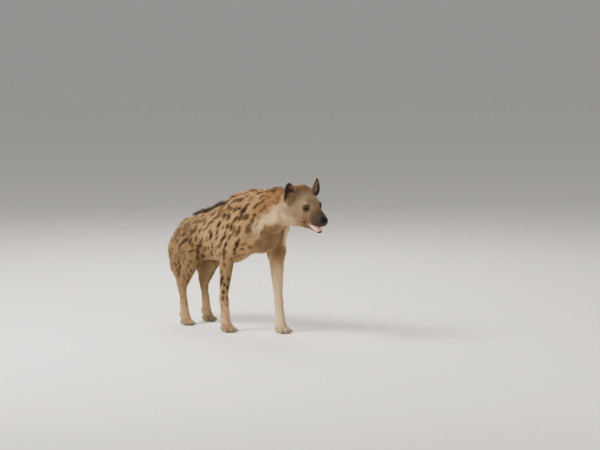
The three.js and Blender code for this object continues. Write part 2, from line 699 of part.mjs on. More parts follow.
// A bent cone with a round foot, for claws and teeth. It starts at root and bends from way to toward.
function horn({ root, way, toward, length, radius, flat = 1, bend, rings = 3, sides = 6, tip = 0.2 }) {
  const place = [];
  const point = root.clone();
  const across = new THREE.Vector3().crossVectors(way, toward).normalize();
  const up = new THREE.Vector3().crossVectors(across, way).normalize();
  for (let r = 0; r < rings; r++) {
    const s = r / rings;
    const angle = bend * s;
    const ahead = way.clone().multiplyScalar(Math.cos(angle)).addScaledVector(up, Math.sin(angle));
    const side = new THREE.Vector3().crossVectors(across, ahead);
    if (r) point.addScaledVector(ahead, length / rings);
    const size = radius * (1 - (1 - tip) * s ** 1.4);
    for (let c = 0; c < sides; c++) {
      const turn = (2 * Math.PI * c) / sides;
      const corner = point.clone();
      corner.addScaledVector(across, size * flat * Math.cos(turn));
      corner.addScaledVector(side, size * Math.sin(turn));
      place.push(corner.x, corner.y, corner.z);
    }
  }
  const ahead = way.clone().multiplyScalar(Math.cos(bend)).addScaledVector(up, Math.sin(bend));
  point.addScaledVector(ahead, length / rings);
  place.push(point.x, point.y, point.z);
  const triangles = [];
  for (let c = 1; c + 1 < sides; c++) triangles.push(0, c, c + 1);
  for (let r = 0; r + 1 < rings; r++)
    for (let c = 0; c < sides; c++) {
      const a = sides * r + c;
      const b = sides * r + ((c + 1) % sides);
      triangles.push(a, a + sides, b, b, a + sides, b + sides);
    }
  const last = sides * (rings - 1);
  for (let c = 0; c < sides; c++) triangles.push(last + c, sides * rings, last + ((c + 1) % sides));
  return solidOf({ place, triangles });
}

// The crest along the back and the mane up the neck, in rows of locks either side of the middle line.
// On the neck they lean forward, behind the withers they lie back.
const random = randomFrom(41);

function crestLock(x, across, forward, length, width) {
  const start = new THREE.Vector3(x, 0, x > 300 ? 690 : 540);
  const out = new THREE.Vector3(0, across, 1).normalize();
  const root = surfaceFrom(start, out);
  const lie = new THREE.Vector3(forward ? 1 : -1, across * 0.5, forward ? 0.1 : -0.2);
  return lock({
    root,
    out,
    lie,
    length: length * random(0.9, 1.1),
    width: width * random(0.9, 1.1),
    thick: 11,
    rise: random(0.36, 0.48),
    droop: random(0.02, 0.12),
  });
}

function lockRow(from, to, spacing, across, forward, length, width) {
  const locks = [];
  const count = Math.round(Math.abs(to - from) / spacing);
  for (let i = 0; i <= count; i++) {
    const x = from + ((to - from) * i) / count + random(-4, 4);
    const size = 0.72 + 0.28 * Math.sin((Math.PI * i) / count);
    locks.push(crestLock(x, across + random(-0.03, 0.03), forward, length * size, width));
  }
  return locks;
}

const mane = [
  ...lockRow(362, 600, 29, 0.1, true, 64, 36),
  ...lockRow(350, 592, 29, -0.1, true, 64, 36),
  ...lockRow(372, 588, 36, 0.34, true, 56, 40),
  ...lockRow(372, 588, 36, -0.34, true, 56, 40),
];
const crest = [
  ...lockRow(330, -236, 30, 0.08, false, 52, 34),
  ...lockRow(318, -222, 30, -0.08, false, 52, 34),
];

const coated = wasm.Manifold.union([bodySolid, ...mane, ...crest]).simplify(0.8);

// Cuts that part the body: across the nape, across the shoulders, and around each leg
const NAPE = -58;
const napeWay = headWay(1, 0, 0);
const behindNape = coated.subtract(beyond(headPoint(NAPE - GAP / 2, 0, 0).toArray(), napeWay.toArray()));
const headWhole = headSolid.subtract(
  beyond(headPoint(NAPE + GAP / 2, 0, 0).toArray(), napeWay.clone().negate().toArray()),
);

const SHOULDER_CUT = new THREE.Vector3(352, 0, 700);
const shoulderWay = new THREE.Vector3(0.82, 0, 0.57).normalize();
const aheadOf = (gap) => SHOULDER_CUT.clone().addScaledVector(shoulderWay, gap).toArray();

const legBlocks = {
  foreLeft: { side: 1, from: 214, to: 420, inner: 45, low: 415, high: 600 },
  foreRight: { side: -1, from: 62, to: 262, inner: 45, low: 415, high: 600 },
  hindLeft: { side: 1, from: -470, to: -112, inner: 44, low: 392, high: 640 },
  hindRight: { side: -1, from: -470, to: -80, inner: 44, low: 392, high: 640 },
};

function legBlock({ side, from, to, inner, low, high }, spare) {
  const outline = [
    [inner - spare, -20],
    [300, -20],
    [300, high + 1.4 * spare],
    [inner - spare, low + 1.4 * spare],
  ];
  return prismAlongX(outline.map(([y, z]) => [side * y, z]), from - spare, to + spare);
}

const below = (z) => beyond([0, 0, z], [0, 0, -1], 3000);
const above = (z) => beyond([0, 0, z], [0, 0, 1], 3000);

let torsoSolid = behindNape.subtract(beyond(aheadOf(-GAP / 2), shoulderWay.toArray()));
for (const block of Object.values(legBlocks)) torsoSolid = torsoSolid.subtract(legBlock(block, GAP));
const neckSolid = behindNape.subtract(beyond(aheadOf(GAP / 2), shoulderWay.clone().negate().toArray()));

const pieces = new Map();
pieces.set("torso", torsoSolid);
pieces.set("neck", neckSolid);

// Legs and feet
const FORE_CUT = WRIST - 16;
const HIND_CUT = HOCK - 20;

function footSolid(muscles, leg, track, cut) {
  const y = track * leg.side;
  const field = (px, py, pz) => fieldOf(muscles, px, py, pz);
  const low = [leg.foot - 70, y - 58, -12];
  const high = [leg.foot + 78, y + 58, cut + 20];
  const mesh = thin(meshField(field, low, high, FOOT_CELL), FOOT_TRIANGLES);
  return solidOf(mesh).subtract(above(cut - GAP / 2)).subtract(below(0));
}

function claws(leg, track, size) {
  const y = track * leg.side;
  return TOES.map((toe) => {
    const tip = toeTip(leg.foot, y, toe, size);
    const way = new THREE.Vector3(1, toe.across * 0.006, 0.12).normalize();
    return horn({
      root: new THREE.Vector3(tip[0] + 6 * size, tip[1], tip[2] + 3 * size),
      way,
      toward: new THREE.Vector3(0, 0, -1),
      length: 24 * size,
      radius: 5.2,
      flat: 0.72,
      bend: 0.75,
      rings: 2,
      sides: 5,
      tip: 0.55,
    });
  });
}

for (const [name, leg, track, size, cut, build] of [
  ["foreLeft", stance.foreLeft, FORE_TRACK, FORE_PAW, FORE_CUT, foreleg],
  ["foreRight", stance.foreRight, FORE_TRACK, FORE_PAW, FORE_CUT, foreleg],
  ["hindLeft", stance.hindLeft, HIND_TRACK, HIND_PAW, HIND_CUT, hindleg],
  ["hindRight", stance.hindRight, HIND_TRACK, HIND_PAW, HIND_CUT, hindleg],
]) {
  const fore = name.startsWith("fore");
  const side = leg.side > 0 ? "left" : "right";
  const whole = behindNape.intersect(legBlock(legBlocks[name], 0));
  pieces.set(`${fore ? "foreleg" : "hindleg"}_${side}`, whole.subtract(below(cut + GAP / 2)));
  const sole = (fore ? feet.fore : feet.hind)(leg);
  const foot = footSolid([...build(leg), ...sole], leg, track, cut);
  const clawed = wasm.Manifold.union([foot, ...claws(leg, track, size)]);
  pieces.set(`${fore ? "forefoot" : "hindfoot"}_${side}`, clawed);
}

// The tail hangs close behind the rump and ends in a brush of long locks
const tailPath = [
  [-350, 0, 524],
  [-398, 0, 486],
  [-422, 0, 440],
  [-428, 2, 388],
  [-415, 5, 325],
  [-394, 9, 245 + (330 - TAIL_LENGTH)],
];
const tailRadii = [28, 24, 21, 19, 17, 12];
const tailMuscles = tailPath
  .slice(1)
  .map((end, i) => muscle(tailPath[i], end, tailRadii[i], tailRadii[i + 1], 0.95, 0.95, 12));
const tailField = (x, y, z) => fieldOf(tailMuscles, x, y, z);
const tailMesh = thin(meshField(tailField, [-480, -50, 205], [-330, 55, 605], 6), 280);

function tailBrush() {
  const locks = [];
  const rows = 4;
  for (let row = 0; row < rows; row++) {
    const t = 0.42 + (0.56 * row) / rows;
    const along = t * (tailPath.length - 1);
    const i = Math.min(tailPath.length - 2, Math.floor(along));
    const start = new THREE.Vector3(...tailPath[i]);
    const end = new THREE.Vector3(...tailPath[i + 1]);
    const way = end.clone().sub(start).normalize();
    const middle = start.lerp(end, along - i);
    for (let c = 0; c < 5; c++) {
      const turn = ((c + 0.5 * (row % 2)) / 5) * 2 * Math.PI + random(-0.15, 0.15);
      const side = new THREE.Vector3(Math.cos(turn), Math.sin(turn), 0);
      const out = side.addScaledVector(way, -side.dot(way)).normalize();
      const root = surfaceFrom(middle, out, tailField);
      const length = random(94, 108);
      const form = { length, width: 30, thick: 10, rise: 0.3, droop: -0.1, sunk: 6 };
      locks.push(lock({ root, out, lie: way, ...form }));
    }
  }
  return locks;
}

const bodyGrown = solidOf(grown(bodyMesh, GAP));
const tailWhole = wasm.Manifold.union([solidOf(tailMesh), ...tailBrush()]).simplify(1);
pieces.set("tail", tailWhole.subtract(bodyGrown).subtract(below(120)));

// Eyes, behind lids that are part of the head
const eyes = [1, -1].map((side) => ({
  side,
  centre: headPoint(EYE.x, EYE.y * side, EYE.z),
  way: headWay(0.66, 0.72 * side, 0.12),
  along: headWay(0.72, -0.66 * side, -0.18),
}));

function ballAt(centre, radius) {
  const geometry = new THREE.SphereGeometry(radius, 14, 8);
  return geometrySolid(geometry, new THREE.Matrix4().setPosition(centre));
}

// The almond-shaped opening between the lids, cut in along the way the eye looks
const LID_WIDTH = 22;
const LID_HEIGHT = 13;
const LID_START = 5;

function lidOpening({ centre, way, along, side }) {
  const half = LID_WIDTH / 2;
  const shape = new THREE.Shape();
  shape.moveTo(-half, 1.5);
  shape.quadraticCurveTo(1, 1.2 * LID_HEIGHT, half, -1.5);
  shape.quadraticCurveTo(0, -0.9 * LID_HEIGHT, -half, 1.5);
  const geometry = new THREE.ExtrudeGeometry(shape, { depth: 30, bevelEnabled: false, curveSegments: 6 });
  const across = along.clone().addScaledVector(way, -along.dot(way)).normalize();
  const up = new THREE.Vector3().crossVectors(way, across).multiplyScalar(side < 0 ? -1 : 1);
  const axes = new THREE.Matrix4().makeBasis(across, up, way);
  return geometrySolid(geometry, axes.setPosition(centre.clone().addScaledVector(way, LID_START)));
}

// Teeth: a canine and a row of cheek teeth on each side, and small incisors between
function tooth(x, y, z, down, length, radius, spare = 0) {
  return horn({
    root: headPoint(x, y, z),
    way: headWay(0, 0, down),
    toward: headWay(-1, 0, 0),
    length: length + 2 * spare,
    radius: radius + spare,
    bend: 0.3,
    rings: 2,
    sides: 5,
    tip: 0.45,
  });
}

function teeth(row, spare) {
  return row.flatMap(([x, y, ...rest]) => [tooth(x, y, ...rest, spare), tooth(x, -y, ...rest, spare)]);
}

const UP = 1;
const DOWN = -1;
const upperRow = [
  [163, 17, -55, DOWN, 19, 5],
  [144, 22, -54, DOWN, 13, 4.6],
  [128, 25, -54, DOWN, 15, 5.4],
  [110, 28, -54, DOWN, 15, 6],
  [175, 4, -56, DOWN, 11, 2.8],
  [172, 10, -56, DOWN, 12, 3],
];
const lowerRow = [
  [163, 12, -91, UP, 22, 4.6],
  [146, 18, -88, UP, 15, 5],
  [131, 22, -87, UP, 15, 5.6],
  [114, 25, -85, UP, 14, 6],
  [171, 4, -91, UP, 12, 2.6],
];

// Nose pad with two nostrils, set in the end of the muzzle
const noseMuscles = [
  muscle([190, -9, -24], [190, 9, -24], 13.5, 13.5, 1, 1, 10),
  muscle([180, 0, -14], [187, 0, -17], 13, 12, 1.3, 1.3, 10),
  muscle([192, 0, -34], [190, 0, -44], 7, 4, 1, 1, 8),
];
const nostrils = [
  ...pair([212, 8, -27], [196, 11, -26], 5, 3.6),
  ...pair([204, 13, -28], [194, 22, -32], 3, 1.8),
];
function noseField(x, y, z) {
  const solid = fieldOf(noseMuscles, x, y, z);
  return carve(solid, Math.min(...nostrils.map((m) => muscleDistance(m, x, y, z))), 3);
}
const noseMesh = intoBody(thin(meshField(noseField, [162, -32, -58], [216, 32, 8], 2), 300));
pieces.set("nose", solidOf(noseMesh));

// Tongue, on the floor of the mouth
const tongueMuscles = [
  muscle([84, 0, -80], [128, 0, -78], 10, 9, 1.8, 1.8, 10),
  muscle([128, 0, -78], [156, 0, -80], 9, 6.5, 1.8, 1.7, 10),
];
const tongueField = (x, y, z) => fieldOf(tongueMuscles, x, y, z);
const tongueMesh = intoBody(thin(meshField(tongueField, [62, -34, -104], [182, 34, -54], 3.5), 140));

// Ears: large rounded cups that open forward and outward
const EAR_HEIGHT = 101;
const EAR_HALF = 37.5;

function earSolid(side) {
  const base = headPoint(3 * side - 35, 80.5 * side - 9.5, 17);
  const way = headWay(0.93, 0.34 + 0.21 * side, 0.06);
  const tilt = headWay(0, 0.32 + 0.26 * side, 0.98);
  const up = tilt.addScaledVector(way, -tilt.dot(way)).normalize();
  const across = new THREE.Vector3().crossVectors(up, way).multiplyScalar(side);
  const spokes = 18;
  const rings = 3;
  const middle = 0.46;
  const outline = (turn) => {
    const c = Math.cos(turn);
    const s = Math.sin(turn);
    const width = EAR_HALF * (s > 0 ? 1 - 0.06 * s : 1) * Math.sign(c) * Math.abs(c) ** (s > 0 ? 1 : 0.72);
    const reach = s > 0 ? 1 - middle : 1.2 * middle;
    return [width, (middle + reach * s) * EAR_HEIGHT];
  };
  const cup = (u, h) => {
    const t = Math.min(1, Math.max(0, h / EAR_HEIGHT));
    const deep = 34 - 22 * t;
    return deep * (u / EAR_HALF) ** 2 + 10 * t * t - 8 * (1 - t) * 0.5;
  };
  const wall = (rho, h) => 2.6 + (1 - rho ** 2) * (2.4 + 6 * Math.max(0, 1 - h / (0.5 * EAR_HEIGHT)));
  const place = [];
  const add = (u, h, offset) => {
    const p = base.clone().addScaledVector(across, u).addScaledVector(up, h);
    p.addScaledVector(way, cup(u, h) + offset);
    place.push(p.x, p.y, p.z);
  };
  for (const face of [1, -1]) {
    add(0, middle * EAR_HEIGHT, (face * wall(0, middle * EAR_HEIGHT)) / 2);
    for (let r = 1; r <= rings; r++)
      for (let k = 0; k < spokes; k++) {
        const [u, h] = outline((2 * Math.PI * k) / spokes);
        const rho = (r / rings) ** 0.85;
        const pu = u * rho;
        const ph = middle * EAR_HEIGHT + (h - middle * EAR_HEIGHT) * rho;
        add(pu, ph, (face * wall(rho, ph)) / 2);
      }
  }
  const sheet = 1 + rings * spokes;
  const triangles = [];
  for (const [base0, flip] of [[0, false], [sheet, true]]) {
    const put = (a, b, c) => triangles.push(...(flip ? [a, c, b] : [a, b, c]));
    for (let k = 0; k < spokes; k++) {
      const n = (k + 1) % spokes;
      put(base0, base0 + 1 + k, base0 + 1 + n);
      for (let r = 0; r + 1 < rings; r++) {
        const a = base0 + 1 + r * spokes;
        put(a + k, a + spokes + k, a + n);
        put(a + n, a + spokes + k, a + spokes + n);
      }
    }
  }
  const rim = 1 + (rings - 1) * spokes;
  for (let k = 0; k < spokes; k++) {
    const n = (k + 1) % spokes;
    triangles.push(rim + k, sheet + rim + k, rim + n, rim + n, sheet + rim + k, sheet + rim + n);
  }
  return solidOf({ place, triangles });
}

// The jaw is parted from the head behind the corner of the mouth
const jawLine = (spare) => [
  [MOUTH_CORNER + 1 - spare, -66 + spare],
  [250, -75 + spare],
  [250, -180],
  [52 - spare, -180],
];
const jawBlock = prismAcrossHead(jawLine(0), 140);
const jawBlockWider = prismAcrossHead(jawLine(GAP), 140);

let headPiece = wasm.Manifold.union([headWhole.subtract(jawBlockWider), ...teeth(upperRow)]);
headPiece = headPiece.subtract(solidOf(grown(noseMesh, GAP)));
for (const eye of eyes) {
  headPiece = headPiece.subtract(lidOpening(eye)).subtract(ballAt(eye.centre, EYE_RADIUS + GAP));
  pieces.set(`eye_${eye.side > 0 ? "left" : "right"}`, ballAt(eye.centre, EYE_RADIUS));
}
pieces.set("head", headPiece);
pieces.set("jaw", wasm.Manifold.union([headWhole.intersect(jawBlock), ...teeth(lowerRow)]));
const headGrown = solidOf(grown(headMesh, GAP));
const aroundTongue = wasm.Manifold.union([headGrown, ...teeth(lowerRow, 0.5)]);
pieces.set("tongue", solidOf(tongueMesh).subtract(aroundTongue));
pieces.set("ear_left", earSolid(1).subtract(headGrown));
pieces.set("ear_right", earSolid(-1).subtract(headGrown));

// The finished model: every piece as one closed mesh, centred over its footprint
const CENTRE = new THREE.Vector3(193.8, 0.6, 0);

// Where two corners of a piece touch in one place, draws one of them a hair inward
function drawApart({ attributes: { position, normal } }) {
  const taken = new Set();
  for (let v = 0; v < position.count; v++) {
    const key = () => [position.getX(v), position.getY(v), position.getZ(v)].map((c) => c.toFixed(2)).join();
    while (taken.has(key())) {
      position.setX(v, position.getX(v) - 0.012 * normal.getX(v));
      position.setY(v, position.getY(v) - 0.012 * normal.getY(v));
      position.setZ(v, position.getZ(v) - 0.012 * normal.getZ(v));
    }
    taken.add(key());
  }
}

function meshOf(name, solid) {
  const one = largest(solid).simplify(0.05);
  const { vertProperties, triVerts } = one.getMesh();
  const geometry = new THREE.BufferGeometry();
  geometry.setAttribute("position", new THREE.BufferAttribute(new Float32Array(vertProperties), 3));
  geometry.setIndex(new THREE.BufferAttribute(new Uint32Array(triVerts), 1));
  geometry.translate(-CENTRE.x, -CENTRE.y, -CENTRE.z);
  geometry.computeVertexNormals();
  drawApart(geometry);
  const mesh = new THREE.Mesh(geometry);
  mesh.name = name;
  return mesh;
}

const hyena = new THREE.Group();
hyena.name = "spotted_hyena";
for (const [name, solid] of pieces) hyena.add(meshOf(name, solid));

export default hyena;
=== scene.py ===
"""Spotted hyena, life size: the skin, coat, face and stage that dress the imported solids.

The skin is one closed surface, taken from the same muscles as the solids and drawn in by the depth
of the coat. Tufts of hair grow from it by Geometry Nodes, and skin and tufts share one set of markings.
Forms, markings and coat are worked out in millimetres in the body's own frame, and to_metres takes
them to the frame of the solids. Meshes, properties and the stage are in metres.
"""

import math

import bmesh
import bpy
import numpy as np
from bpy.props import FloatProperty, FloatVectorProperty, IntProperty, PointerProperty
from bpy.types import Operator, Panel, PropertyGroup
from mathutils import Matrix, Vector


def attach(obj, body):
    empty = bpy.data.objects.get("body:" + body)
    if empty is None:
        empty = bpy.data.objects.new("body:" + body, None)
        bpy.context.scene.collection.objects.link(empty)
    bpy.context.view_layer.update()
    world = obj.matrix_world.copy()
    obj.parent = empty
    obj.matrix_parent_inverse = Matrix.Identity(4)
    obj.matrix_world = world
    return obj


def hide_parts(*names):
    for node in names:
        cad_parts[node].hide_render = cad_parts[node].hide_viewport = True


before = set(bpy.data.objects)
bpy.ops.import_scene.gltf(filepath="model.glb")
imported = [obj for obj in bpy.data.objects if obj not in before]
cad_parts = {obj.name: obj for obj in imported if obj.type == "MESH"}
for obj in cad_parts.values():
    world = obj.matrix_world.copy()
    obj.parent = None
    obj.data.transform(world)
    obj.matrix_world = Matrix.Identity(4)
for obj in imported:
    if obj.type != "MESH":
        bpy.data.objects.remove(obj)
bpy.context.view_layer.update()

bl_info = {
    "name": "Spotted hyena",
    "version": (1, 0, 0),
    "blender": (4, 5, 0),
    "location": "View3D > Sidebar > Hyena",
    "description": "Builds the skin, coat, face and stage of a life-size spotted hyena",
    "category": "Object",
}

MM = 0.001
CENTRE = np.array((193.8, 0.6, 0.0))

# Driving sizes, in millimetres, as in the solids
WITHERS = 800
HIP = 540
SHOULDER_JOINT = 588
ELBOW = 448
WRIST = 188
KNEE = 382
HOCK = 207
MUZZLE_END = 172
FORE_TRACK = 98
HIND_TRACK = 95
FORE_PAW = 1.08
HIND_PAW = 0.98
EAR_HEIGHT = 101
EAR_HALF = 37.5
EAR_WIDEST = 0.46
EAR_WALL = 4.2
EYE = (83, 41, 15)
EYE_RADIUS = 14
LID_HALF, LID_RISE, LID_FALL = 11.5, 4.6, 4.4

# side, shoulder, elbow, wrist and foot of each foreleg, and side, hip, knee, hock and foot of each hind leg
FORELEGS = ((1, 347, 318, 344, 366), (-1, 300, 154, 112, 134))
HINDLEGS = ((1, -290, -212, -288, -262), (-1, -282, -158, -252, -224))

HEAD_CENTRE = np.array((659.0, 0.0, 741.0))
BELOW_HEAD = 480


def turn(axis, degrees):
    """A rotation about one axis, 0 for x, 1 for y, 2 for z."""
    c, s = math.cos(math.radians(degrees)), math.sin(math.radians(degrees))
    i, j = (axis + 1) % 3, (axis + 2) % 3
    matrix = np.eye(3)
    matrix[i, i] = matrix[j, j] = c
    matrix[i, j], matrix[j, i] = -s, s
    return matrix


HEAD_TURN = turn(2, -6) @ turn(1, 17.5) @ turn(0, 6)


def head_point(x, y, z):
    """A place in the head's frame as a place in the body's frame."""
    return HEAD_TURN @ np.array((x, y, z), float) + HEAD_CENTRE


def head_way(x, y, z):
    """A direction in the head's frame as a unit direction in the body's frame."""
    way = HEAD_TURN @ np.array((x, y, z), float)
    return way / np.linalg.norm(way)


def in_head(points):
    """Places in the body's frame as places in the head's frame."""
    return (points - HEAD_CENTRE) @ HEAD_TURN


def over_head(points):
    """Places in the head's own frame, with the legs, which stand below it, put far behind it."""
    q = in_head(points)
    q[:, 0] -= 900.0 * (points[:, 2] < BELOW_HEAD)
    return q


def from_head(places):
    """Places in the head's frame as places in the body's frame."""
    return places @ HEAD_TURN.T + HEAD_CENTRE


def to_metres(points):
    """Places in the body's frame as places in the frame of the solids."""
    return (np.asarray(points) - CENTRE) * MM


# Form: tapered muscles that melt into one another


def muscle(a, b, r0, r1, w0=1.0, w1=None, blend=30.0):
    """A tapered capsule from a to b. w0 and w1 are its sideways width against its upright one."""
    return (a, b, r0, r1, w0, w0 if w1 is None else w1, blend)


def pair(a, b, *sizes):
    """The same muscle on both sides."""
    return [muscle(a, b, *sizes), muscle((a[0], -a[1], a[2]), (b[0], -b[1], b[2]), *sizes)]


def melt(p, q, blend):
    """Two signed distances as one, with a soft join."""
    h = np.maximum(blend - np.abs(p - q), 0) / blend
    return np.minimum(p, q) - h * h * blend * 0.25


def carve(p, hollow, blend):
    """A form with a hollow taken out of it."""
    return -melt(-p, hollow, blend)


def unit(ways):
    """Directions, each of length 1."""
    return ways / np.maximum(np.linalg.norm(ways, axis=1), 1e-9)[:, None]


def smooth(low, high, value):
    """0 below low, 1 above high, and smooth between."""
    t = np.clip((value - low) / (high - low), 0, 1)
    return t * t * (3 - 2 * t)


FAR = 70.0


def muscle_distance(m, p):
    """Signed distance of points to one muscle, worked out only near it."""
    a, b, r0, r1, w0, w1, _ = m
    a, b = np.array(a, float), np.array(b, float)
    reach = max(r0, r1) * max(1, w0, w1) + FAR
    near = np.all((p > np.minimum(a, b) - reach) & (p < np.maximum(a, b) + reach), axis=1)
    found = np.full(len(p), FAR)
    q = p[near] - a
    d = b - a
    t = np.clip(q @ d / max(d @ d, 1e-9), 0, 1)
    width = w0 + (w1 - w0) * t
    q = q - t[:, None] * d
    q[:, 1] /= width
    found[near] = (np.sqrt((q * q).sum(1)) - (r0 + (r1 - r0) * t)) * np.minimum(1, width)
    return np.minimum(found, FAR)


def melted(muscles, p):
    """Signed distance to many muscles, each with its own soft join."""
    distance = np.full(len(p), FAR)
    for m in muscles:
        distance = melt(distance, muscle_distance(m, p), m[6])
    return distance


TRUNK = [
    muscle((290, 0, WITHERS - 182), (60, 0, 531), 155, 161, 0.8, 0.84),
    muscle((60, 0, 531), (-150, 0, 500), 161, 130, 0.84, 0.84, 20),
    muscle((-150, 0, 500), (-272, 0, 500), 130, 104, 0.84, 0.82, 20),
    muscle((172, 0, 650), (330, 0, 668), 108, 112, 0.75, 0.75, 30),
    muscle((306, 0, 575), (306, 0, 545), 104, 100, 0.86, 0.86, 40),
    muscle((280, 0, 645), (430, 0, 690), 130, 114, 0.8, 0.8, 30),
    muscle((430, 0, 690), (592, 0, 722), 114, 98, 0.8, 0.86, 20),
]


def foreleg(y, shoulder, elbow, wrist, foot):
    """Muscles of a foreleg on side y, from how far forward each joint stands."""
    joint = (shoulder, 96 * y, SHOULDER_JOINT)
    point = (elbow, 106 * y, ELBOW)
    below = (wrist, FORE_TRACK * y, WRIST)
    pastern = (wrist + 5, FORE_TRACK * y, WRIST - 22)
    pad = (wrist - 22, FORE_TRACK * y, WRIST - 12)
    return [
        muscle((shoulder - 96, 76 * y, WITHERS - 122), joint, 58, 60, 0.62, 0.7, 40),
        muscle(joint, point, 60, 54, 0.75, 0.86, 34),
        muscle((shoulder - 110, 92 * y, 610), (elbow - 8, 106 * y, ELBOW + 28), 56, 40, 0.66, 0.8, 34),
        muscle(point, below, 54, 25, 0.8, 0.92, 26),
        muscle((elbow - 24, 108 * y, ELBOW + 8), (elbow - 6, 106 * y, ELBOW - 40), 24, 22, 0.8, 0.9, 16),
        muscle(below, pastern, 27, 26, 1, 1, 10),
        muscle(pad, (wrist - 20, FORE_TRACK * y, WRIST - 18), 10, 9, 1, 1, 12),
        muscle(pastern, (foot - 6, FORE_TRACK * y, 62), 25, 27, 1.02, 1.12, 10),
    ]


def hindleg(y, hip, knee, hock, foot):
    """Muscles of a hind leg on side y, from how far forward each joint stands."""
    stifle = (knee, 106 * y, KNEE)
    tendon = (hock - 30, HIND_TRACK * y, HOCK + 30)
    cannon = (hock + 4, HIND_TRACK * y, HOCK - 20)
    return [
        muscle((hip + 16, 70 * y, HIP - 90), stifle, 92, 60, 0.64, 0.66, 40),
        muscle((hip - 47, 62 * y, HIP - 132), (hip - 26, 90 * y, KNEE - 54), 66, 42, 0.72, 0.8, 50),
        muscle(stifle, (hock + 6, HIND_TRACK * y, HOCK + 10), 62, 28, 0.7, 0.84, 28),
        muscle((hip - 24, 92 * y, KNEE - 60), (hock - 30, HIND_TRACK * y, HOCK + 34), 32, 14, 0.85, 0.9, 24),
        muscle(tendon, (hock - 20, HIND_TRACK * y, HOCK - 6), 14, 14, 0.95, 1, 14),
        muscle((hock, HIND_TRACK * y, HOCK), cannon, 26, 24, 0.92, 0.92, 12),
        muscle(cannon, (foot - 4, HIND_TRACK * y, 58), 23, 25, 0.95, 1.1, 10),
    ]


TOES = ((-27, 33), (-10, 48), (10, 48), (27, 32))


def toe_tip(foot, y, toe, size):
    return (foot + toe[1] * size, y + toe[0] * size, 13 * size)


def is_fore(points):
    """Whether each point belongs to the front half of the animal."""
    return points[:, 0] > -60


def on_front_left(points):
    """The left foreleg, which stands ahead in full light: paler, partly for its own pale inner side and
    partly as painted light, with few spots.
    """
    return (points[:, 1] > 0) & (points[:, 0] > 150)


def paw(foot, y, size):
    """Pad and four toes, each with a knuckle."""
    heel, ball = (foot - 12 * size, y, 19 * size), (foot + 8, y, 21 * size)
    made = [
        muscle(heel, ball, 22 * size, 25 * size, 1.25, 1.4, 8),
        muscle((foot - 14, y, 58), (foot + 6, y, 38), 24, 22, 1.2, 1.4, 12),
    ]
    for toe in TOES:
        root = (foot + 4, y + toe[0] * 0.66 * size, 29 * size)
        made.append(muscle(root, toe_tip(foot, y, toe, size), 15 * size, 14.5 * size, 0.78, 0.8, 4))
    return made


LEGS = [foreleg(*leg) for leg in FORELEGS] + [hindleg(*leg) for leg in HINDLEGS]
FEET = [(leg[4], FORE_TRACK * leg[0], FORE_PAW) for leg in FORELEGS]
FEET += [(leg[4], HIND_TRACK * leg[0], HIND_PAW) for leg in HINDLEGS]
BODY = TRUNK + [m for leg in LEGS for m in leg]

HEAD = [
    muscle((-40, 0, 12), (40, 0, 2), 70, 58, 1.06, 1),
    muscle((66, 0, -6), (MUZZLE_END - 2, 0, -31), 48, 29, 0.9, 1.34, 22),
    *pair((150, 14, -37), (173, 12, -40), 27, 21.5, 1, 1, 14),
    *pair((58, 30, 28), (76, 37, 24), 24, 16, 1, 1, 16),
    *pair((100, 28, -38), (160, 21, -38), 22, 18, 1, 1, 14),
    *pair((28, 54, -26), (62, 50, -26), 46, 28, 0.72, 0.72, 26),
    *pair((-18, 52, -52), (36, 48, -62), 52, 36, 0.72, 0.72, 28),
    muscle((-12, 0, -76), (64, 0, -78), 60, 34, 1, 1.3, 26),
    muscle((62, 0, -84), (166, 0, -91), 27, 13, 1.5, 1.55, 18),
    *pair((-50, 34, 44), (-38, 58, 42), 34, 22, 1, 1, 26),
]
ORBITS = pair((101, 57, 16), (115, 46, 12), 13, 8)
MOUTH_HOLLOW = muscle((96, 0, -66), (158, 0, -69), 13, 13, 1.5, 1.3)
MOUTH_CORNER = np.array((78.0, -65.0))
MOUTH_END = np.array((198.0, -72.0))

TAIL_PATH = np.array(
    ((-350, 0, 524), (-398, 0, 486), (-422, 0, 440), (-428, 2, 388), (-415, 5, 325), (-394, 9, 245)), float
)
TAIL_RADII = (25, 20, 17, 14, 12, 7)
TAIL = [
    muscle(tuple(TAIL_PATH[i]), tuple(TAIL_PATH[i + 1]), TAIL_RADII[i], TAIL_RADII[i + 1], 0.95, 0.95, 12)
    for i in range(5)
]


def mouth_distance(q):
    """Distance to the opening of the mouth, in the head's frame."""
    d = MOUTH_END - MOUTH_CORNER
    away = q[:, [0, 2]] - MOUTH_CORNER
    t = np.clip(away @ d / (d @ d), 0, 1)
    wedge = np.linalg.norm(away - t[:, None] * d, axis=1) - (2.5 + 10 * t)
    return np.minimum(wedge, muscle_distance(MOUTH_HOLLOW, q))


def lip_roll(q):
    """Height above the dark edge of the lower lip, which hangs rolled out, and where it does so."""
    middle = MOUTH_CORNER[1] + (q[:, 0] - MOUTH_CORNER[0]) * (MOUTH_END[1] - MOUTH_CORNER[1]) / 120
    edge = np.interp(q[:, 0], (82, 104, 132, 158, 172, 182), (-70, -78, -88, -94, -92, -84))
    where = smooth(82, 92, q[:, 0]) * (1 - smooth(-1, 1, q[:, 2] - middle))
    return q[:, 2] - edge, where


def ear_frame(side):
    """Base, across, up and facing of an ear, in the body's frame."""
    base = head_point(3 * side - 35, 80.5 * side - 9.5, 17)
    way = head_way(0.93, 0.34 + 0.21 * side, 0.06)
    up = head_way(0, 0.32 + 0.26 * side, 0.98)
    up = up - way * (up @ way)
    up = up / np.linalg.norm(up)
    return base, side * np.cross(up, way), up, way


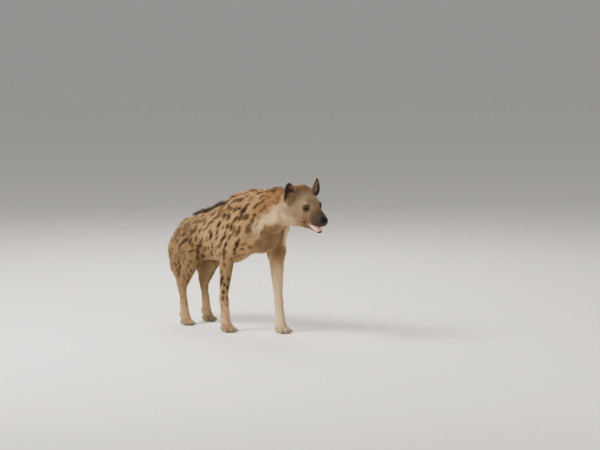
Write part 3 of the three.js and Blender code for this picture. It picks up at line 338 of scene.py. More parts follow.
def ear_places(points, side):
    """Across, height, height share, distance from the cup's sheet and share of the way to its edge."""
    base, across, up, way = ear_frame(side)
    q = points - base
    u, h, w = q @ across, q @ up, q @ way
    t = np.clip(h / EAR_HEIGHT, 0, 1)
    deep = 34 - 22 * t
    cup = deep * (u / EAR_HALF) ** 2 + 10 * t * t - 4 * (1 - t)
    middle = EAR_WIDEST * EAR_HEIGHT
    top = h > middle
    reach = np.where(top, (1 - EAR_WIDEST) * EAR_HEIGHT, 1.2 * middle)
    s = (h - middle) / reach
    wide = np.abs(u) / (EAR_HALF * np.where(top, 1 - 0.06 * np.clip(s, 0, 1), 1))
    edge = np.sqrt(np.where(top, wide**2, wide ** (2 / 0.72)) + s * s)
    slope = 2 * deep * np.abs(u) / EAR_HALF**2
    return u, h, t, (w - cup) / np.sqrt(1 + slope**2), edge


def ear_distance(points, side):
    """Signed distance to one ear, a thin cup that is thicker at its base."""
    _, _, t, away, edge = ear_places(points, side)
    wall = EAR_WALL + np.clip(1 - edge**2, 0, 1) * (1.6 + 6 * np.clip(1 - 2 * t, 0, 1))
    return -melt(-(np.abs(away) - wall / 2), -(edge - 1) * 30, 3)


EYES = []
for eye_side in (1, -1):
    eye_way = head_way(0.66, 0.72 * eye_side, 0.12)
    eye_along = head_way(0.72, -0.66 * eye_side, -0.18)
    eye_along = eye_along - eye_way * (eye_along @ eye_way)
    eye_along = eye_along / np.linalg.norm(eye_along)
    eye_up = np.cross(eye_way, eye_along) * (1 if eye_side > 0 else -1)
    EYES.append((head_point(EYE[0], EYE[1] * eye_side, EYE[2]), eye_way, eye_along, eye_up))


def lid_places(points, eye):
    """Distance past the edge of the almond between the lids, distance from the eyeball, height and depth."""
    centre, way, along, up = eye
    q = points - centre
    a, b, c = q @ along, q @ up, q @ way
    s = np.clip(a / LID_HALF, -1, 1)
    tilt = -0.12 * a
    arch = np.sqrt(np.clip(1 - s * s, 0, 1))
    above, below = b - LID_RISE * arch - tilt, tilt - LID_FALL * arch - b
    opening = np.maximum(np.maximum(above, below), np.abs(a) - LID_HALF)
    opening = np.where(c > 4, opening, np.maximum(opening, 4 - c))
    return opening, np.linalg.norm(q, axis=1) - EYE_RADIUS, b, c


def from_eyes(points):
    """Distance to the middle of the nearer eye."""
    return np.minimum(*(np.linalg.norm(points - eye[0], axis=1) for eye in EYES))


TRUNK_DEPTH, LEG_DEPTH, FOOT_DEPTH, HEAD_DEPTH, MUZZLE_DEPTH = 9, 4, 1.8, 2.4, 1.5


def coat_depth(points, q):
    """How far the skin lies inside the tips of the coat."""
    z = points[:, 2]
    legs = np.where(is_fore(points), 1 - smooth(330, 470, z), 1 - smooth(280, 430, z))
    depth = TRUNK_DEPTH + (LEG_DEPTH - TRUNK_DEPTH) * legs
    depth = depth + (FOOT_DEPTH - depth) * (1 - smooth(70, 160, z))
    depth = depth + (HEAD_DEPTH - depth) * smooth(-100, 5, q[:, 0])
    return depth + (MUZZLE_DEPTH - depth) * smooth(70, 130, q[:, 0])


def skin_distance(points):
    """The whole skin above the pasterns."""
    q = in_head(points)
    whole = melted(BODY, points)
    headed = q[:, 0] > -190
    if headed.any():
        whole[headed] = melt(whole[headed], melted(HEAD, q[headed]), 34)
    whole = whole + coat_depth(points, q)
    tailed = points[:, 0] < -260
    if tailed.any():
        whole[tailed] = melt(whole[tailed], melted(TAIL, points[tailed]), 16)
    face = q[:, 0] > -70
    if face.any():
        whole[face] = face_distance(points[face], q[face], whole[face])
    return whole


def face_distance(points, q, whole):
    """Eye sockets, lids, ears and mouth."""
    orbit = np.minimum(muscle_distance(ORBITS[0], q), muscle_distance(ORBITS[1], q))
    whole = carve(whole, orbit + 1, 14)
    for eye in EYES:
        opening, ball, b, c = lid_places(points, eye)
        near = ball < 30
        lid = ball[near] - 2.8
        fold = np.exp(-(((b[near] - 9.5) / 1.5) ** 2)) * smooth(0, 8, c[near])
        part = melt(whole[near], lid, 7) + 0.9 * fold
        whole[near] = carve(part, opening[near], 1.2)
    for side in (1, -1):
        whole = melt(whole, ear_distance(points, side), 11)
    return carve(whole, mouth_distance(q), 6)


def foot_distance(points, leg):
    """One leg with its paw, flat on the floor."""
    foot, y, size = FEET[leg]
    whole = melted(LEGS[leg] + paw(foot, y, size), points)
    whole = whole + coat_depth(points, in_head(points))
    return -melt(-whole, points[:, 2] - 0.02, 3)


# Surface: a net over each grid, zipped together and settled on the form


class Net:
    """Corners in millimetres and faces, as triangles and quads."""

    def __init__(self, places, quads, triangles=()):
        self.places = places
        self.quads = np.asarray(quads, int).reshape(-1, 4)
        self.triangles = np.asarray(triangles, int).reshape(-1, 3)

    def joined(self, other):
        shift = len(self.places)
        return Net(
            np.vstack((self.places, other.places)),
            np.vstack((self.quads, other.quads + shift)),
            np.vstack((self.triangles, other.triangles + shift)),
        )

    def loops(self):
        """Its open edges, as closed rings of corners."""
        onward = {}
        for faces, n in ((self.quads, 4), (self.triangles, 3)):
            for k in range(n):
                for a, b in zip(faces[:, k].tolist(), faces[:, (k + 1) % n].tolist()):
                    onward.setdefault(a, set()).add(b)
        ahead = {a: [b for b in found if a not in onward.get(b, ())] for a, found in onward.items()}
        ahead = {a: found[0] for a, found in ahead.items() if found}
        rings = []
        while ahead:
            start, a = next(iter(ahead.items()))
            ring = [start]
            del ahead[start]
            while a != start:
                ring.append(a)
                a = ahead.pop(a)
            rings.append(ring)
        return rings


def grid_net(distance, low, high, cell):
    """A surface net: one corner in each cell that the form passes through."""
    low = np.array(low, float)
    n = np.ceil((np.array(high) - low) / cell).astype(int) + 1
    axes = [low[i] + cell * np.arange(n[i]) for i in range(3)]
    value = np.empty(n)
    for i, x in enumerate(axes[0]):
        y, z = np.meshgrid(axes[1], axes[2], indexing="ij")
        layer = np.stack((np.full(y.size, x), y.ravel(), z.ravel()), 1)
        value[i] = distance(layer).reshape(n[1:])
    inside = value < 0
    total = np.zeros((*(n - 1), 3))
    count = np.zeros(n - 1)
    steps = [(slice(0, -1), slice(1, None))[b] for b in (0, 1)]
    for axis in range(3):
        i, j = (axis + 1) % 3, (axis + 2) % 3
        for bi in (0, 1):
            for bj in (0, 1):
                a, b = [None] * 3, [None] * 3
                a[axis], b[axis] = steps
                a[i] = b[i] = steps[bi]
                a[j] = b[j] = steps[bj]
                va, vb = value[tuple(a)], value[tuple(b)]
                crossed = (va < 0) != (vb < 0)
                t = np.where(crossed, va / np.where(crossed, va - vb, 1), 0)
                total[..., axis] += t * crossed
                total[..., i] += bi * crossed
                total[..., j] += bj * crossed
                count += crossed
    live = count > 0
    index = np.full(n - 1, -1)
    index[live] = np.arange(live.sum())
    corners = np.stack(np.nonzero(live), 1)
    places = low + cell * (corners + total[live] / count[live][:, None])
    quads = []
    for axis in range(3):
        i, j = (axis + 1) % 3, (axis + 2) % 3
        a, b = [slice(None)] * 3, [slice(None)] * 3
        a[axis], b[axis] = steps
        crossed = inside[tuple(a)] != inside[tuple(b)]
        at = np.stack(np.nonzero(crossed), 1)
        at = at[(at[:, i] > 0) & (at[:, j] > 0) & (at[:, i] < n[i] - 1) & (at[:, j] < n[j] - 1)]
        forward = inside[tuple(at.T)]
        ring = []
        for di, dj in ((1, 1), (0, 1), (0, 0), (1, 0)):
            cell_at = at.copy()
            cell_at[:, i] -= di
            cell_at[:, j] -= dj
            ring.append(index[tuple(cell_at.T)])
        ring = np.stack(ring, 1)
        ring[~forward] = ring[~forward][:, ::-1]
        quads.append(ring)
    return Net(places, np.vstack(quads))


def zipped(net, ring_a, ring_b):
    """Triangles between two open rings of one net, which face each other."""
    a = list(reversed(ring_a))
    b = list(ring_b)
    p = net.places
    start = int(np.argmin(np.linalg.norm(p[b] - p[a[0]], axis=1)))
    b = b[start:] + b[:start]
    made = []
    i = j = 0
    while i < len(a) or j < len(b):
        here_a, here_b = a[i % len(a)], b[j % len(b)]
        next_a, next_b = a[(i + 1) % len(a)], b[(j + 1) % len(b)]
        on_a = np.linalg.norm(p[next_a] - p[here_b])
        on_b = np.linalg.norm(p[next_b] - p[here_a])
        if j >= len(b) or (i < len(a) and on_a < on_b):
            made.append((here_a, next_a, here_b))
            i += 1
        else:
            made.append((here_a, next_b, here_b))
            j += 1
    return made


def slope_of(distance, places, step=0.4):
    """How fast a distance grows along each axis."""
    ways = []
    for axis in range(3):
        shift = np.zeros(3)
        shift[axis] = step
        ways.append((distance(places + shift) - distance(places - shift)) / (2 * step))
    return np.stack(ways, 1)


def settled(places, distance, rounds=2):
    """Slides corners onto the form."""
    for _ in range(rounds):
        d = distance(places)
        g = slope_of(distance, places)
        g2 = np.maximum((g * g).sum(1), 0.2)
        places = places - np.clip(d / g2, -4, 4)[:, None] * g
    return places


FOOT_TOP = 150.0
NECK_CUT = 588.0


def whole_distance(points):
    """The whole skin, with the feet's own form below the pasterns."""
    found = np.empty(len(points))
    low = points[:, 2] < FOOT_TOP
    found[~low] = skin_distance(points[~low])
    which = np.zeros(len(points), int)
    nearest = np.full(len(points), 1e9)
    for leg, (foot, y, _) in enumerate(FEET):
        away = np.hypot(points[:, 0] - foot, points[:, 1] - y)
        which[away < nearest] = leg
        nearest = np.minimum(nearest, away)
    for leg in range(4):
        mine = low & (which == leg)
        if mine.any():
            found[mine] = foot_distance(points[mine], leg)
    return found


def skin_net(body_cell, head_cell, foot_cell):
    """The body on a coarse grid, the head and each foot on fine ones, zipped into one closed net."""
    body = grid_net(skin_distance, (-500, -180, FOOT_TOP + 3), (NECK_CUT - 3, 180, 880), body_cell)
    head = grid_net(skin_distance, (NECK_CUT, -150, 560), (880, 150, 900), head_cell)
    net = body.joined(head)
    for leg, (foot, y, _) in enumerate(FEET):
        low, high = (foot - 75, y - 62, -7), (foot + 90, y + 62, FOOT_TOP)
        net = net.joined(grid_net(lambda p, leg=leg: foot_distance(p, leg), low, high, foot_cell))
    rings = net.loops()
    middles = [net.places[ring].mean(0) for ring in rings]
    taken = set()
    for i, ring in enumerate(rings):
        if i in taken:
            continue
        rest = [k for k in range(len(rings)) if k != i and k not in taken]
        k = min(rest, key=lambda k: np.linalg.norm(middles[k] - middles[i]))
        taken |= {i, k}
        strip = zipped(net, ring, rings[k])
        net.triangles = np.vstack((net.triangles, np.array(strip)))
    return net


FINE_REACH, SETTLE_REACH = 27.0, 34.0


def finer_round_eyes(shell):
    """Splits the faces round the eyes once, so that the lids come out crisp."""
    shape = bmesh.new()
    shape.from_mesh(shell)
    centres = [Vector(to_metres(eye[0])) for eye in EYES]
    chosen = {v for v in shape.verts if min((v.co - c).length for c in centres) < FINE_REACH * MM}
    edges = [e for e in shape.edges if e.verts[0] in chosen and e.verts[1] in chosen]
    bmesh.ops.subdivide_edges(shape, edges=edges, cuts=1, use_grid_fill=True)
    shape.to_mesh(shell)
    shape.free()


def places_of(shell):
    """Corners of a mesh, in metres."""
    found = np.empty(len(shell.vertices) * 3)
    shell.vertices.foreach_get("co", found)
    return found.reshape(-1, 3)


def set_places(shell, places):
    shell.vertices.foreach_set("co", np.asarray(places, np.float32).ravel())
    shell.update()


def add_object(name, data):
    piece = bpy.data.objects.new(name, data)
    bpy.context.scene.collection.objects.link(piece)
    return piece


def shade_smooth(mesh):
    mesh.polygons.foreach_set("use_smooth", np.ones(len(mesh.polygons), bool))


# Markings: where the coat is spotted, pale, rusty or dark, with some painted light and shade, and which way
# it lies


def wander(points, size, seed):
    """A soft wave between -1 and 1 with features of about that size."""
    draw = np.random.default_rng(seed)
    total = np.zeros(len(points))
    for _ in range(5):
        way = draw.normal(size=3)
        way *= 2 * math.pi / (size * draw.uniform(0.7, 1.5) * np.linalg.norm(way))
        total += np.sin(points @ way + draw.uniform(0, 6.3))
    return total / 3.2


def legness(points):
    """0 on the trunk and 1 on the lower legs."""
    z = points[:, 2]
    return np.where(is_fore(points), 1 - smooth(330, 500, z), 1 - smooth(300, 470, z))


def crest_share(points):
    """1 along the middle of the back and neck, 0 beside it."""
    return (1 - smooth(12, 34, np.abs(points[:, 1]))) * smooth(480, 560, points[:, 2] + 0.2 * points[:, 0])


def leg_line(points):
    """Middle of the nearest leg at each point's height, as x and y, and which leg it is."""
    _, y, z = points.T
    fore = is_fore(points)
    left = y > 0
    leg = np.where(fore, np.where(left, 0, 1), np.where(left, 2, 3))
    middle = np.zeros(len(points))
    for k, joints in enumerate((*FORELEGS, *HINDLEGS)):
        heights = (0, 60, WRIST, ELBOW, 640) if k < 2 else (0, 60, HOCK, KNEE, 560)
        at = (joints[4], joints[4] - 6, joints[3], joints[2], joints[1])
        middle = np.where(leg == k, np.interp(z, heights, at), middle)
    track = np.where(fore, FORE_TRACK, HIND_TRACK) * np.where(left, 1, -1)
    return middle, track, leg


def tail_places(points):
    """Distance from the tail's middle line, the way along it, and how far along, from 0 to 1."""
    best = np.full(len(points), 1e9)
    way = np.zeros((len(points), 3))
    along = np.zeros(len(points))
    for i in range(5):
        a, d = TAIL_PATH[i], TAIL_PATH[i + 1] - TAIL_PATH[i]
        t = np.clip((points - a) @ d / (d @ d), 0, 1)
        away = np.linalg.norm(points - a - t[:, None] * d, axis=1)
        closer = away < best
        best = np.where(closer, away, best)
        way[closer] = d / np.linalg.norm(d)
        along = np.where(closer, (i + t) / 5, along)
    return best, way, along


def on_tail(points):
    """How much a point belongs to the tail."""
    away, _, along = tail_places(points)
    radius = np.interp(along, np.linspace(0, 1, 6), TAIL_RADII)
    return smooth(0.06, 0.16, along) * (1 - smooth(4, 10, away - radius))


def on_ears(points):
    """How much a point belongs to an ear, how far inside the cup it faces, and how near the rim it is."""
    ear, inner, rim = (np.zeros(len(points)) for _ in range(3))
    for side in (1, -1):
        _, _, t, away, edge = ear_places(points, side)
        mine = (1 - smooth(1.05, 1.2, edge)) * (1 - smooth(5, 9, np.abs(away))) * smooth(0.0, 0.1, t)
        ear = np.maximum(ear, mine)
        inner = np.maximum(inner, mine * smooth(-0.2, 0.8, away))
        rim = np.maximum(rim, mine * smooth(0.6, 0.95, edge))
    return ear, inner, rim


def steered(way, share, aim):
    """Directions steered towards an aim, each by its own share."""
    return way * (1 - share)[:, None] + share[:, None] * aim


def lie_of(points, normals):
    """The way the hair lies, along the surface."""
    q = over_head(points)
    x, y, z = points.T
    ones = np.ones(len(points))
    low = 1 - smooth(400, 640, z - 0.15 * x)
    haunch = 1 - smooth(-260, -80, x)
    way = np.array((-1, 0, -0.85)) + low[:, None] * np.array((0.1, 0, -0.7))
    way = way + haunch[:, None] * np.array((0.15, 0, -0.5))
    over_back = np.stack((-ones, 0.12 * np.sign(y), -0.15 * ones), 1)
    way = steered(way, smooth(0.5, 0.95, normals[:, 2]), over_back)
    way = steered(way, smooth(0.4, 0.9, -normals[:, 2]), np.array((-1, 0, -0.1)))
    way = steered(way, smooth(380, 470, x), np.array((-1, 0, -0.75)))
    way = steered(way, legness(points), np.array((-0.22, 0, -1)))
    parted = np.clip(q[:, 1] / 34, -1, 1)
    over_face = np.stack((-ones, 0.28 * parted, -0.25 * np.abs(parted)), 1) @ HEAD_TURN.T
    way = steered(way, smooth(-105, -45, q[:, 0]), over_face)
    ear, _, _ = on_ears(points)
    for side in (1, -1):
        way = steered(way, ear * (q[:, 1] * side > 0), ear_frame(side)[2])
    way = steered(way, on_tail(points), tail_places(points)[1])
    return along_skin(way, normals)


def along_skin(way, normals):
    """Directions laid flat on the skin."""
    return unit(way - normals * (way * normals).sum(1)[:, None])


LOWEST_TIP = 6.5


def level(lie, points, length):
    """Keeps the tips of the lowest tufts above the floor."""
    rise = np.maximum(lie[:, 2], (LOWEST_TIP - points[:, 2]) / length)
    return unit(np.concatenate((lie[:, :2], rise[:, None]), 1))


def spot_plan(points):
    """Half length, half width, spacing and strength of the spots at each point."""
    x, y, z = points.T
    q = over_head(points)
    haunch = 1 - smooth(-220, -60, x)
    legs = legness(points)
    neck = smooth(330, 460, x)
    long = 25 - 9 * haunch - 8 * neck
    wide = 14.5 - 4.5 * haunch - 3.5 * neck
    gap = 36 - 12 * haunch - 5 * neck
    long, wide, gap = long - 8 * legs, wide - 4 * legs, gap - 7 * legs
    low = smooth(370, 440, z - 0.12 * x)
    border = 655 + 0.55 * (x - 400)
    low_neck = neck * (1 - smooth(border - 25, border + 25, z))
    chest = smooth(300, 350, x) * (1 - smooth(540, 620, z))
    strength = 1 - (1 - low) * (1 - legs) * 0.9
    strength = strength * (1 - low_neck) * (1 - smooth(-70, -40, q[:, 0])) * (1 - 0.9 * chest)
    inner = legs * smooth(-4, 10, np.abs(leg_line(points)[1]) - np.abs(y))
    strength = strength * (1 - 0.8 * inner) * np.where(on_front_left(points), 1 - 0.8 * legs, 1)
    strength = strength * (1 - 0.75 * (1 - smooth(90, 200, z))) * (1 - on_tail(points))
    return long, wide, gap, strength


class Spots:
    """Seeded spots that grow along the lie of the coat."""

    def __init__(self, points, normals, seed, size, count=9000):
        draw = np.random.default_rng(seed)
        order = draw.permutation(len(points))[:count]
        points, normals = points[order], normals[order]
        long, wide, gap, strength = spot_plan(points)
        kept = []
        for i in range(len(points)):
            if strength[i] < 0.25:
                continue
            if kept:
                away = points[kept] - points[i]
                if ((away * away).sum(1) < (gap[i] * draw.uniform(0.72, 1.1)) ** 2).any():
                    continue
            kept.append(i)
        self.centre = points[kept]
        self.lie = unit(lie_of(self.centre, normals[kept]) + np.array((0, 0, -0.45)))
        self.normal = normals[kept]
        scale = size * draw.uniform(0.68, 1.22, len(kept))
        self.long = long[kept] * scale * draw.uniform(0.85, 1.2, len(kept))
        self.wide = wide[kept] * scale
        self.strength = strength[kept] * draw.uniform(0.78, 1, len(kept))

    def at(self, points, normals):
        """How dark each point is, from 0 to 1."""
        dark = np.zeros(len(points))
        wave = 0.16 * wander(points, 14, 5) + 0.1 * wander(points, 6, 6)
        for k in range(len(self.centre)):
            away = points - self.centre[k]
            near = np.nonzero((np.abs(away) < 2.2 * self.long[k]).all(1))[0]
            if not len(near):
                continue
            away = away[near]
            along = away @ self.lie[k]
            across = np.linalg.norm(away - along[:, None] * self.lie[k], axis=1)
            far = np.sqrt((along / self.long[k]) ** 2 + (across / self.wide[k]) ** 2) + wave[near]
            same_side = smooth(-0.2, 0.3, normals[near] @ self.normal[k])
            mine = self.strength[k] * (1 - smooth(0.72, 1.12, far)) * same_side
            dark[near] = np.maximum(dark[near], mine)
        return dark


def blob(q, centre, reach):
    """A soft patch on each side of the head, 1 at its centre."""
    away = (np.stack((q[:, 0], np.abs(q[:, 1]), q[:, 2]), 1) - centre) / reach
    return np.exp(-(away * away).sum(1))


def from_nose(q, middle, reach):
    """Distance from the middle of the nose, against the reach each way."""
    return np.linalg.norm((q - np.array((middle, 0, -24))) / np.array(reach), axis=1)


def marks_of(points, normals, spots):
    """Spot, pale, rusty and dark shares of the coat, with painted shade on chest, underside and ear hollows,
    and painted light on the left foreleg.
    """
    x, y, z = points.T
    q = over_head(points)
    qx, qy, qz = q.T
    spot = spots.at(points, normals)
    wave = wander(points, 60, 11)
    head = smooth(-100, -45, qx)
    border = 640 + 0.6 * (x - 400) + 14 * wave
    neck = smooth(330, 430, x) * (1 - head)
    # neck_shade_line: lower edge of the pale throat; below it the chest and lower neck are painted in shade
    neck_shade_line = np.interp(x, (360, 400, 440), (485, 530, 588)) + 48 * (1 - smooth(70, 105, np.abs(y))) + 10 * wave
    above_neck_shade_line = smooth(neck_shade_line - 22, neck_shade_line + 16, z)
    legs = legness(points)
    pale = neck * (1 - smooth(border - 30, border + 25, z)) * above_neck_shade_line
    # chest: painted darker brown, partly its own brown hair and partly painted shade where shadow falls
    chest = smooth(300, 370, x) * (1 - above_neck_shade_line) * (1 - legs) * (1 - head)
    pale = np.maximum(0.95 * pale, 0.15 * chest)
    cheek = blob(q, (-32, 84, 2), (30, 30, 26))
    throat = head * (1 - smooth(-66, -34, qz)) * (1 - smooth(20, 100, qx))
    brow = blob(q, (70, 40, 40), (15, 15, 8))
    pale = np.maximum.reduce((pale, 0.9 * cheek, 0.75 * throat, 0.6 * brow))
    inner = legs * smooth(-6, 14, np.abs(leg_line(points)[1]) - np.abs(y))
    front_left = on_front_left(points)
    # the left foreleg is painted pale all round: partly its own pale inner side, partly painted light
    pale = np.maximum(pale, 0.3 * inner + legs * np.where(front_left, 0.5, 0.2 * (1 - smooth(100, 300, z))))
    upper = neck * smooth(border - 10, border + 40, z)
    saddle = smooth(-150, 60, x) * (1 - smooth(380, 480, x)) * smooth(0.2, 0.9, normals[:, 2]) * 0.7
    crown = head * (1 - smooth(-10, 34, qx)) * smooth(52, 76, qz) * (1 - smooth(26, 58, np.abs(qy)))
    # the rusty share on the chest is partly painted shade
    rusty = np.maximum.reduce((0.9 * upper, saddle, 0.9 * crown, 0.6 * chest))
    muzzle = head * (0.66 * smooth(38, 104, qx - 0.25 * qz - 8) + 0.28 * smooth(100, 160, qx))
    bridge = head * 0.72 * np.exp(-((qy / 27) ** 2)) * smooth(52, 104, qx)
    bridge = bridge * smooth(-10, 6, qz + 0.25 * (qx - 60))
    tear = blob(q, (96, 38, 2), (17, 14, 15))
    by_ear = blob(q, (-18, 38, 72), (17, 14, 20))
    socket = 1 - smooth(17, 25, from_eyes(points))
    ear, inner_ear, rim = on_ears(points)
    tail = on_tail(points) * smooth(0.25, 0.6, tail_places(points)[2])
    toes = 0.45 * (1 - smooth(20, 70, z))
    ridge = 0.85 * crest_share(points) * (1 - smooth(60, 150, x)) * smooth(-290, -240, x)
    # ears: dark hair, a little darker inside the cup as painted shade in the hollow, lighter at the rim for
    # its pale hairs
    ears = ear * (0.95 + 0.05 * inner_ear - 0.06 * rim)
    # grey_and_shade: the grey of the head, rear and legs, plus painted shade on the chest and underside
    grey_and_shade = head * (1 - 0.7 * pale) * (0.55 + 0.17 * smooth(20, 60, qz) * smooth(-30, 20, qx))
    rear = 0.48 * (1 - smooth(-180, 40, x)) * (1 - 0.7 * legs)
    rear = rear + 0.34 * legs * np.where(front_left, 0, 1) * smooth(110, 240, z)
    # underside_shade: surfaces that face down are painted darker, as painted shade
    underside_shade = smooth(0.1, 0.8, -normals[:, 2]) * (1 - legs) * (1 - head) * (x < 300)
    grey_and_shade = np.maximum.reduce((grey_and_shade, rear, chest * (0.46 + 0.12 * wave) + 0.1 * underside_shade))
    face = np.maximum.reduce((muzzle, bridge, 0.96 * socket, 0.9 * tear, 0.85 * by_ear))
    dark = np.maximum.reduce((face, ears, tail, toes, ridge, grey_and_shade))
    pale = np.maximum(pale, 0.5 * head * (1 - crown)) * (1 - np.maximum(0.8 * muzzle, ear))
    return np.clip(np.stack((spot, pale, rusty, dark), 1), 0, 1)


# The coat: where each tuft is rooted, and how long, wide and raised it is


def scattered(places, faces, spacing, density, seed):
    """Points on the skin, one to each square of the spacing, their normals and the random draws."""
    draw = np.random.default_rng(seed)
    a, b, c = (places[faces[:, k]] for k in range(3))
    cross = np.cross(b - a, c - a)
    corner = np.zeros_like(places)
    for k in range(3):
        np.add.at(corner, faces[:, k], cross)
    corner = unit(corner)
    area = np.linalg.norm(cross, axis=1) / 2
    wanted = np.cumsum(density * area / spacing((a + b + c) / 3) ** 2)
    count = int(wanted[-1])
    chosen = np.minimum(np.searchsorted(wanted, np.arange(count) + draw.random(count)), len(faces) - 1)
    r, s = draw.random(count), draw.random(count)
    over = r + s > 1
    r[over], s[over] = 1 - r[over], 1 - s[over]
    mix = np.stack((1 - r - s, r, s), 1)
    points = sum(places[faces[chosen, k]] * mix[:, k : k + 1] for k in range(3))
    normals = sum(corner[faces[chosen, k]] * mix[:, k : k + 1] for k in range(3))
    return points, unit(normals), draw


# length, width and spacing of the tufts
TRUNK_TUFTS = (36.0, 3.5, 3.7)
RUMP_TUFTS = (28, 3.1, 3.5)
LEG_TUFTS = (15, 2.3, 3.4)
FOOT_TUFTS = (7.5, 1.8, 2.9)
HEAD_TUFTS = (14, 1.5, 1.95)
FACE_TUFTS = (9, 1.0, 1.5)
EAR_TUFTS = (5, 1.0, 1.55)
TAIL_TUFTS = (26, 3.2, 3.4)


def coat_sizes(points):
    """Length and width of the tufts and the spacing of their roots."""
    q = over_head(points)
    head = smooth(-100, -20, q[:, 0])
    found = [np.full(len(points), size) for size in TRUNK_TUFTS]
    for share, values in (
        (1 - smooth(-260, -120, points[:, 0]), RUMP_TUFTS),
        (legness(points), LEG_TUFTS),
        (1 - smooth(70, 170, points[:, 2]), FOOT_TUFTS),
        (head, HEAD_TUFTS),
        (smooth(10, 90, q[:, 0]) * head, FACE_TUFTS),
        (on_ears(points)[0], EAR_TUFTS),
        (on_tail(points), TAIL_TUFTS),
    ):
        found = [old + (new - old) * share for old, new in zip(found, values)]
    return found


def bare_skin(points):
    """Where no hair grows: in the mouth, on the lips and lids, under the nose and the soles."""
    q = over_head(points)
    face = q[:, 0] > -60
    bare = points[:, 2] < 3
    above, rolled = lip_roll(q)
    bare |= face & ((mouth_distance(q) < 3.2) | ((above > -4) & (rolled > 0.4)))
    for eye in EYES:
        opening, ball, _, _ = lid_places(points, eye)
        bare |= face & (ball < 12) & (opening < 3.6)
    return bare | (from_nose(q, 188, (17, 25, 17)) < 1)


COAT_PIECES = (
    "coat_shoulder_left",
    "coat_flank_left",
    "coat_shoulder_right",
    "coat_flank_right",
    "coat_neck",
    "coat_foreleg_left",
    "coat_hindleg_left",
    "coat_head_left",
    "coat_head_right",
    "coat_ears",
    "coat_tail",
    "coat_foreleg_right",
    "coat_hindleg_right",
)
SHOULDERS, FLANKS = (0, 2), (1, 3)
NECK_COAT, EAR_COAT, TAIL_COAT = 4, 9, 10
FORE_COATS, HIND_COATS = (5, 11), (6, 12)
HEAD_COATS = (7, 8)


def zone_of(points):
    """The piece of coat that each root belongs to, by its number in COAT_PIECES."""
    x, y, z = points.T
    q = over_head(points)

    def sided(pieces):
        return np.where(y > 0, *pieces)

    zone = np.where(x > 60, sided(SHOULDERS), sided(FLANKS))
    zone = np.where(x > 345 + 0.7 * (640 - z), NECK_COAT, zone)
    leg = np.where(is_fore(points), sided(FORE_COATS), sided(HIND_COATS))
    zone = np.where(legness(points) > 0.5, leg, zone)
    zone = np.where(q[:, 0] > -50, np.where(q[:, 1] > 0, *HEAD_COATS), zone)
    zone = np.where(on_ears(points)[0] > 0.5, EAR_COAT, zone)
    return np.where(on_tail(points) > 0.5, TAIL_COAT, zone)


UV_MARGIN = 0.004


def unwrapped(points, zone):
    """Places of the roots on an unwrap of the skin, each zone on its own square."""
    x, y, z = points.T
    q = over_head(points)
    spine = np.interp(x, (-300, 60, 300, 600), (480, 520, 600, 700))
    uv = np.stack((x, np.arctan2(y, z - spine)), 1)
    middle, track, leg = leg_line(points)
    round_leg = np.arctan2(y - track, x - middle) / (2 * math.pi) + 0.5
    legs = np.stack((z, round_leg + 1.1 * leg), 1)
    uv = np.where(np.isin(zone, FORE_COATS + HIND_COATS)[:, None], legs, uv)
    face = np.stack((q[:, 0], np.arctan2(q[:, 1], q[:, 2] + 20)), 1)
    uv = np.where(np.isin(zone, HEAD_COATS)[:, None], face, uv)
    for side in (1, -1):
        u, h, _, away, _ = ear_places(points, side)
        tile = (0 if side > 0 else 2) + (away > 0)
        ear = np.stack((u + 90 * tile, h), 1)
        uv = np.where(((zone == EAR_COAT) & (q[:, 1] * side > 0))[:, None], ear, uv)
    _, _, along = tail_places(points)
    middle_x = np.interp(z, TAIL_PATH[::-1, 2], TAIL_PATH[::-1, 0])
    tail = np.stack((along, np.arctan2(y, x - middle_x)), 1)
    uv = np.where((zone == TAIL_COAT)[:, None], tail, uv)
    for k in np.unique(zone):
        mine = zone == k
        low, high = uv[mine].min(0), uv[mine].max(0)
        uv[mine] = UV_MARGIN + (1 - 2 * UV_MARGIN) * (uv[mine] - low) / np.maximum(high - low, 1e-9)
    return uv


# Node building: one method for any node, and Python sums for shader maths


class Value:
    """A node's output that can be added, multiplied and compared like a number."""

    def __init__(self, kit, socket):
        self.kit = kit
        self.socket = socket

    def __add__(self, other):
        return self.kit.maths("ADD", self, other)

    def __sub__(self, other):
        return self.kit.maths("SUBTRACT", self, other)

    def __rsub__(self, other):
        return self.kit.maths("SUBTRACT", other, self)

    def __mul__(self, other):
        return self.kit.maths("MULTIPLY", self, other)

    def __truediv__(self, other):
        return self.kit.maths("DIVIDE", self, other)

    def __rtruediv__(self, other):
        return self.kit.maths("DIVIDE", other, self)

    def __pow__(self, other):
        return self.kit.maths("POWER", self, other)

    __radd__ = __add__
    __rmul__ = __mul__

    def largest(self, other):
        return self.kit.maths("MAXIMUM", self, other)

    def step(self, low, high):
        """0 below low, 1 above high, and smooth between."""
        kind = {"interpolation_type": "SMOOTHSTEP"}
        made = self.kit.node("ShaderNodeMapRange", kind, Value=self, From_Min=low, From_Max=high)
        return made.get("Result")


class Made:
    """A node whose outputs are read by name."""

    def __init__(self, kit, node):
        self.kit = kit
        self.node = node

    def get(self, name=0):
        outputs = self.node.outputs
        if isinstance(name, int):
            return Value(self.kit, outputs[name])
        return Value(self.kit, next(s for s in outputs if s.name == name and s.enabled))


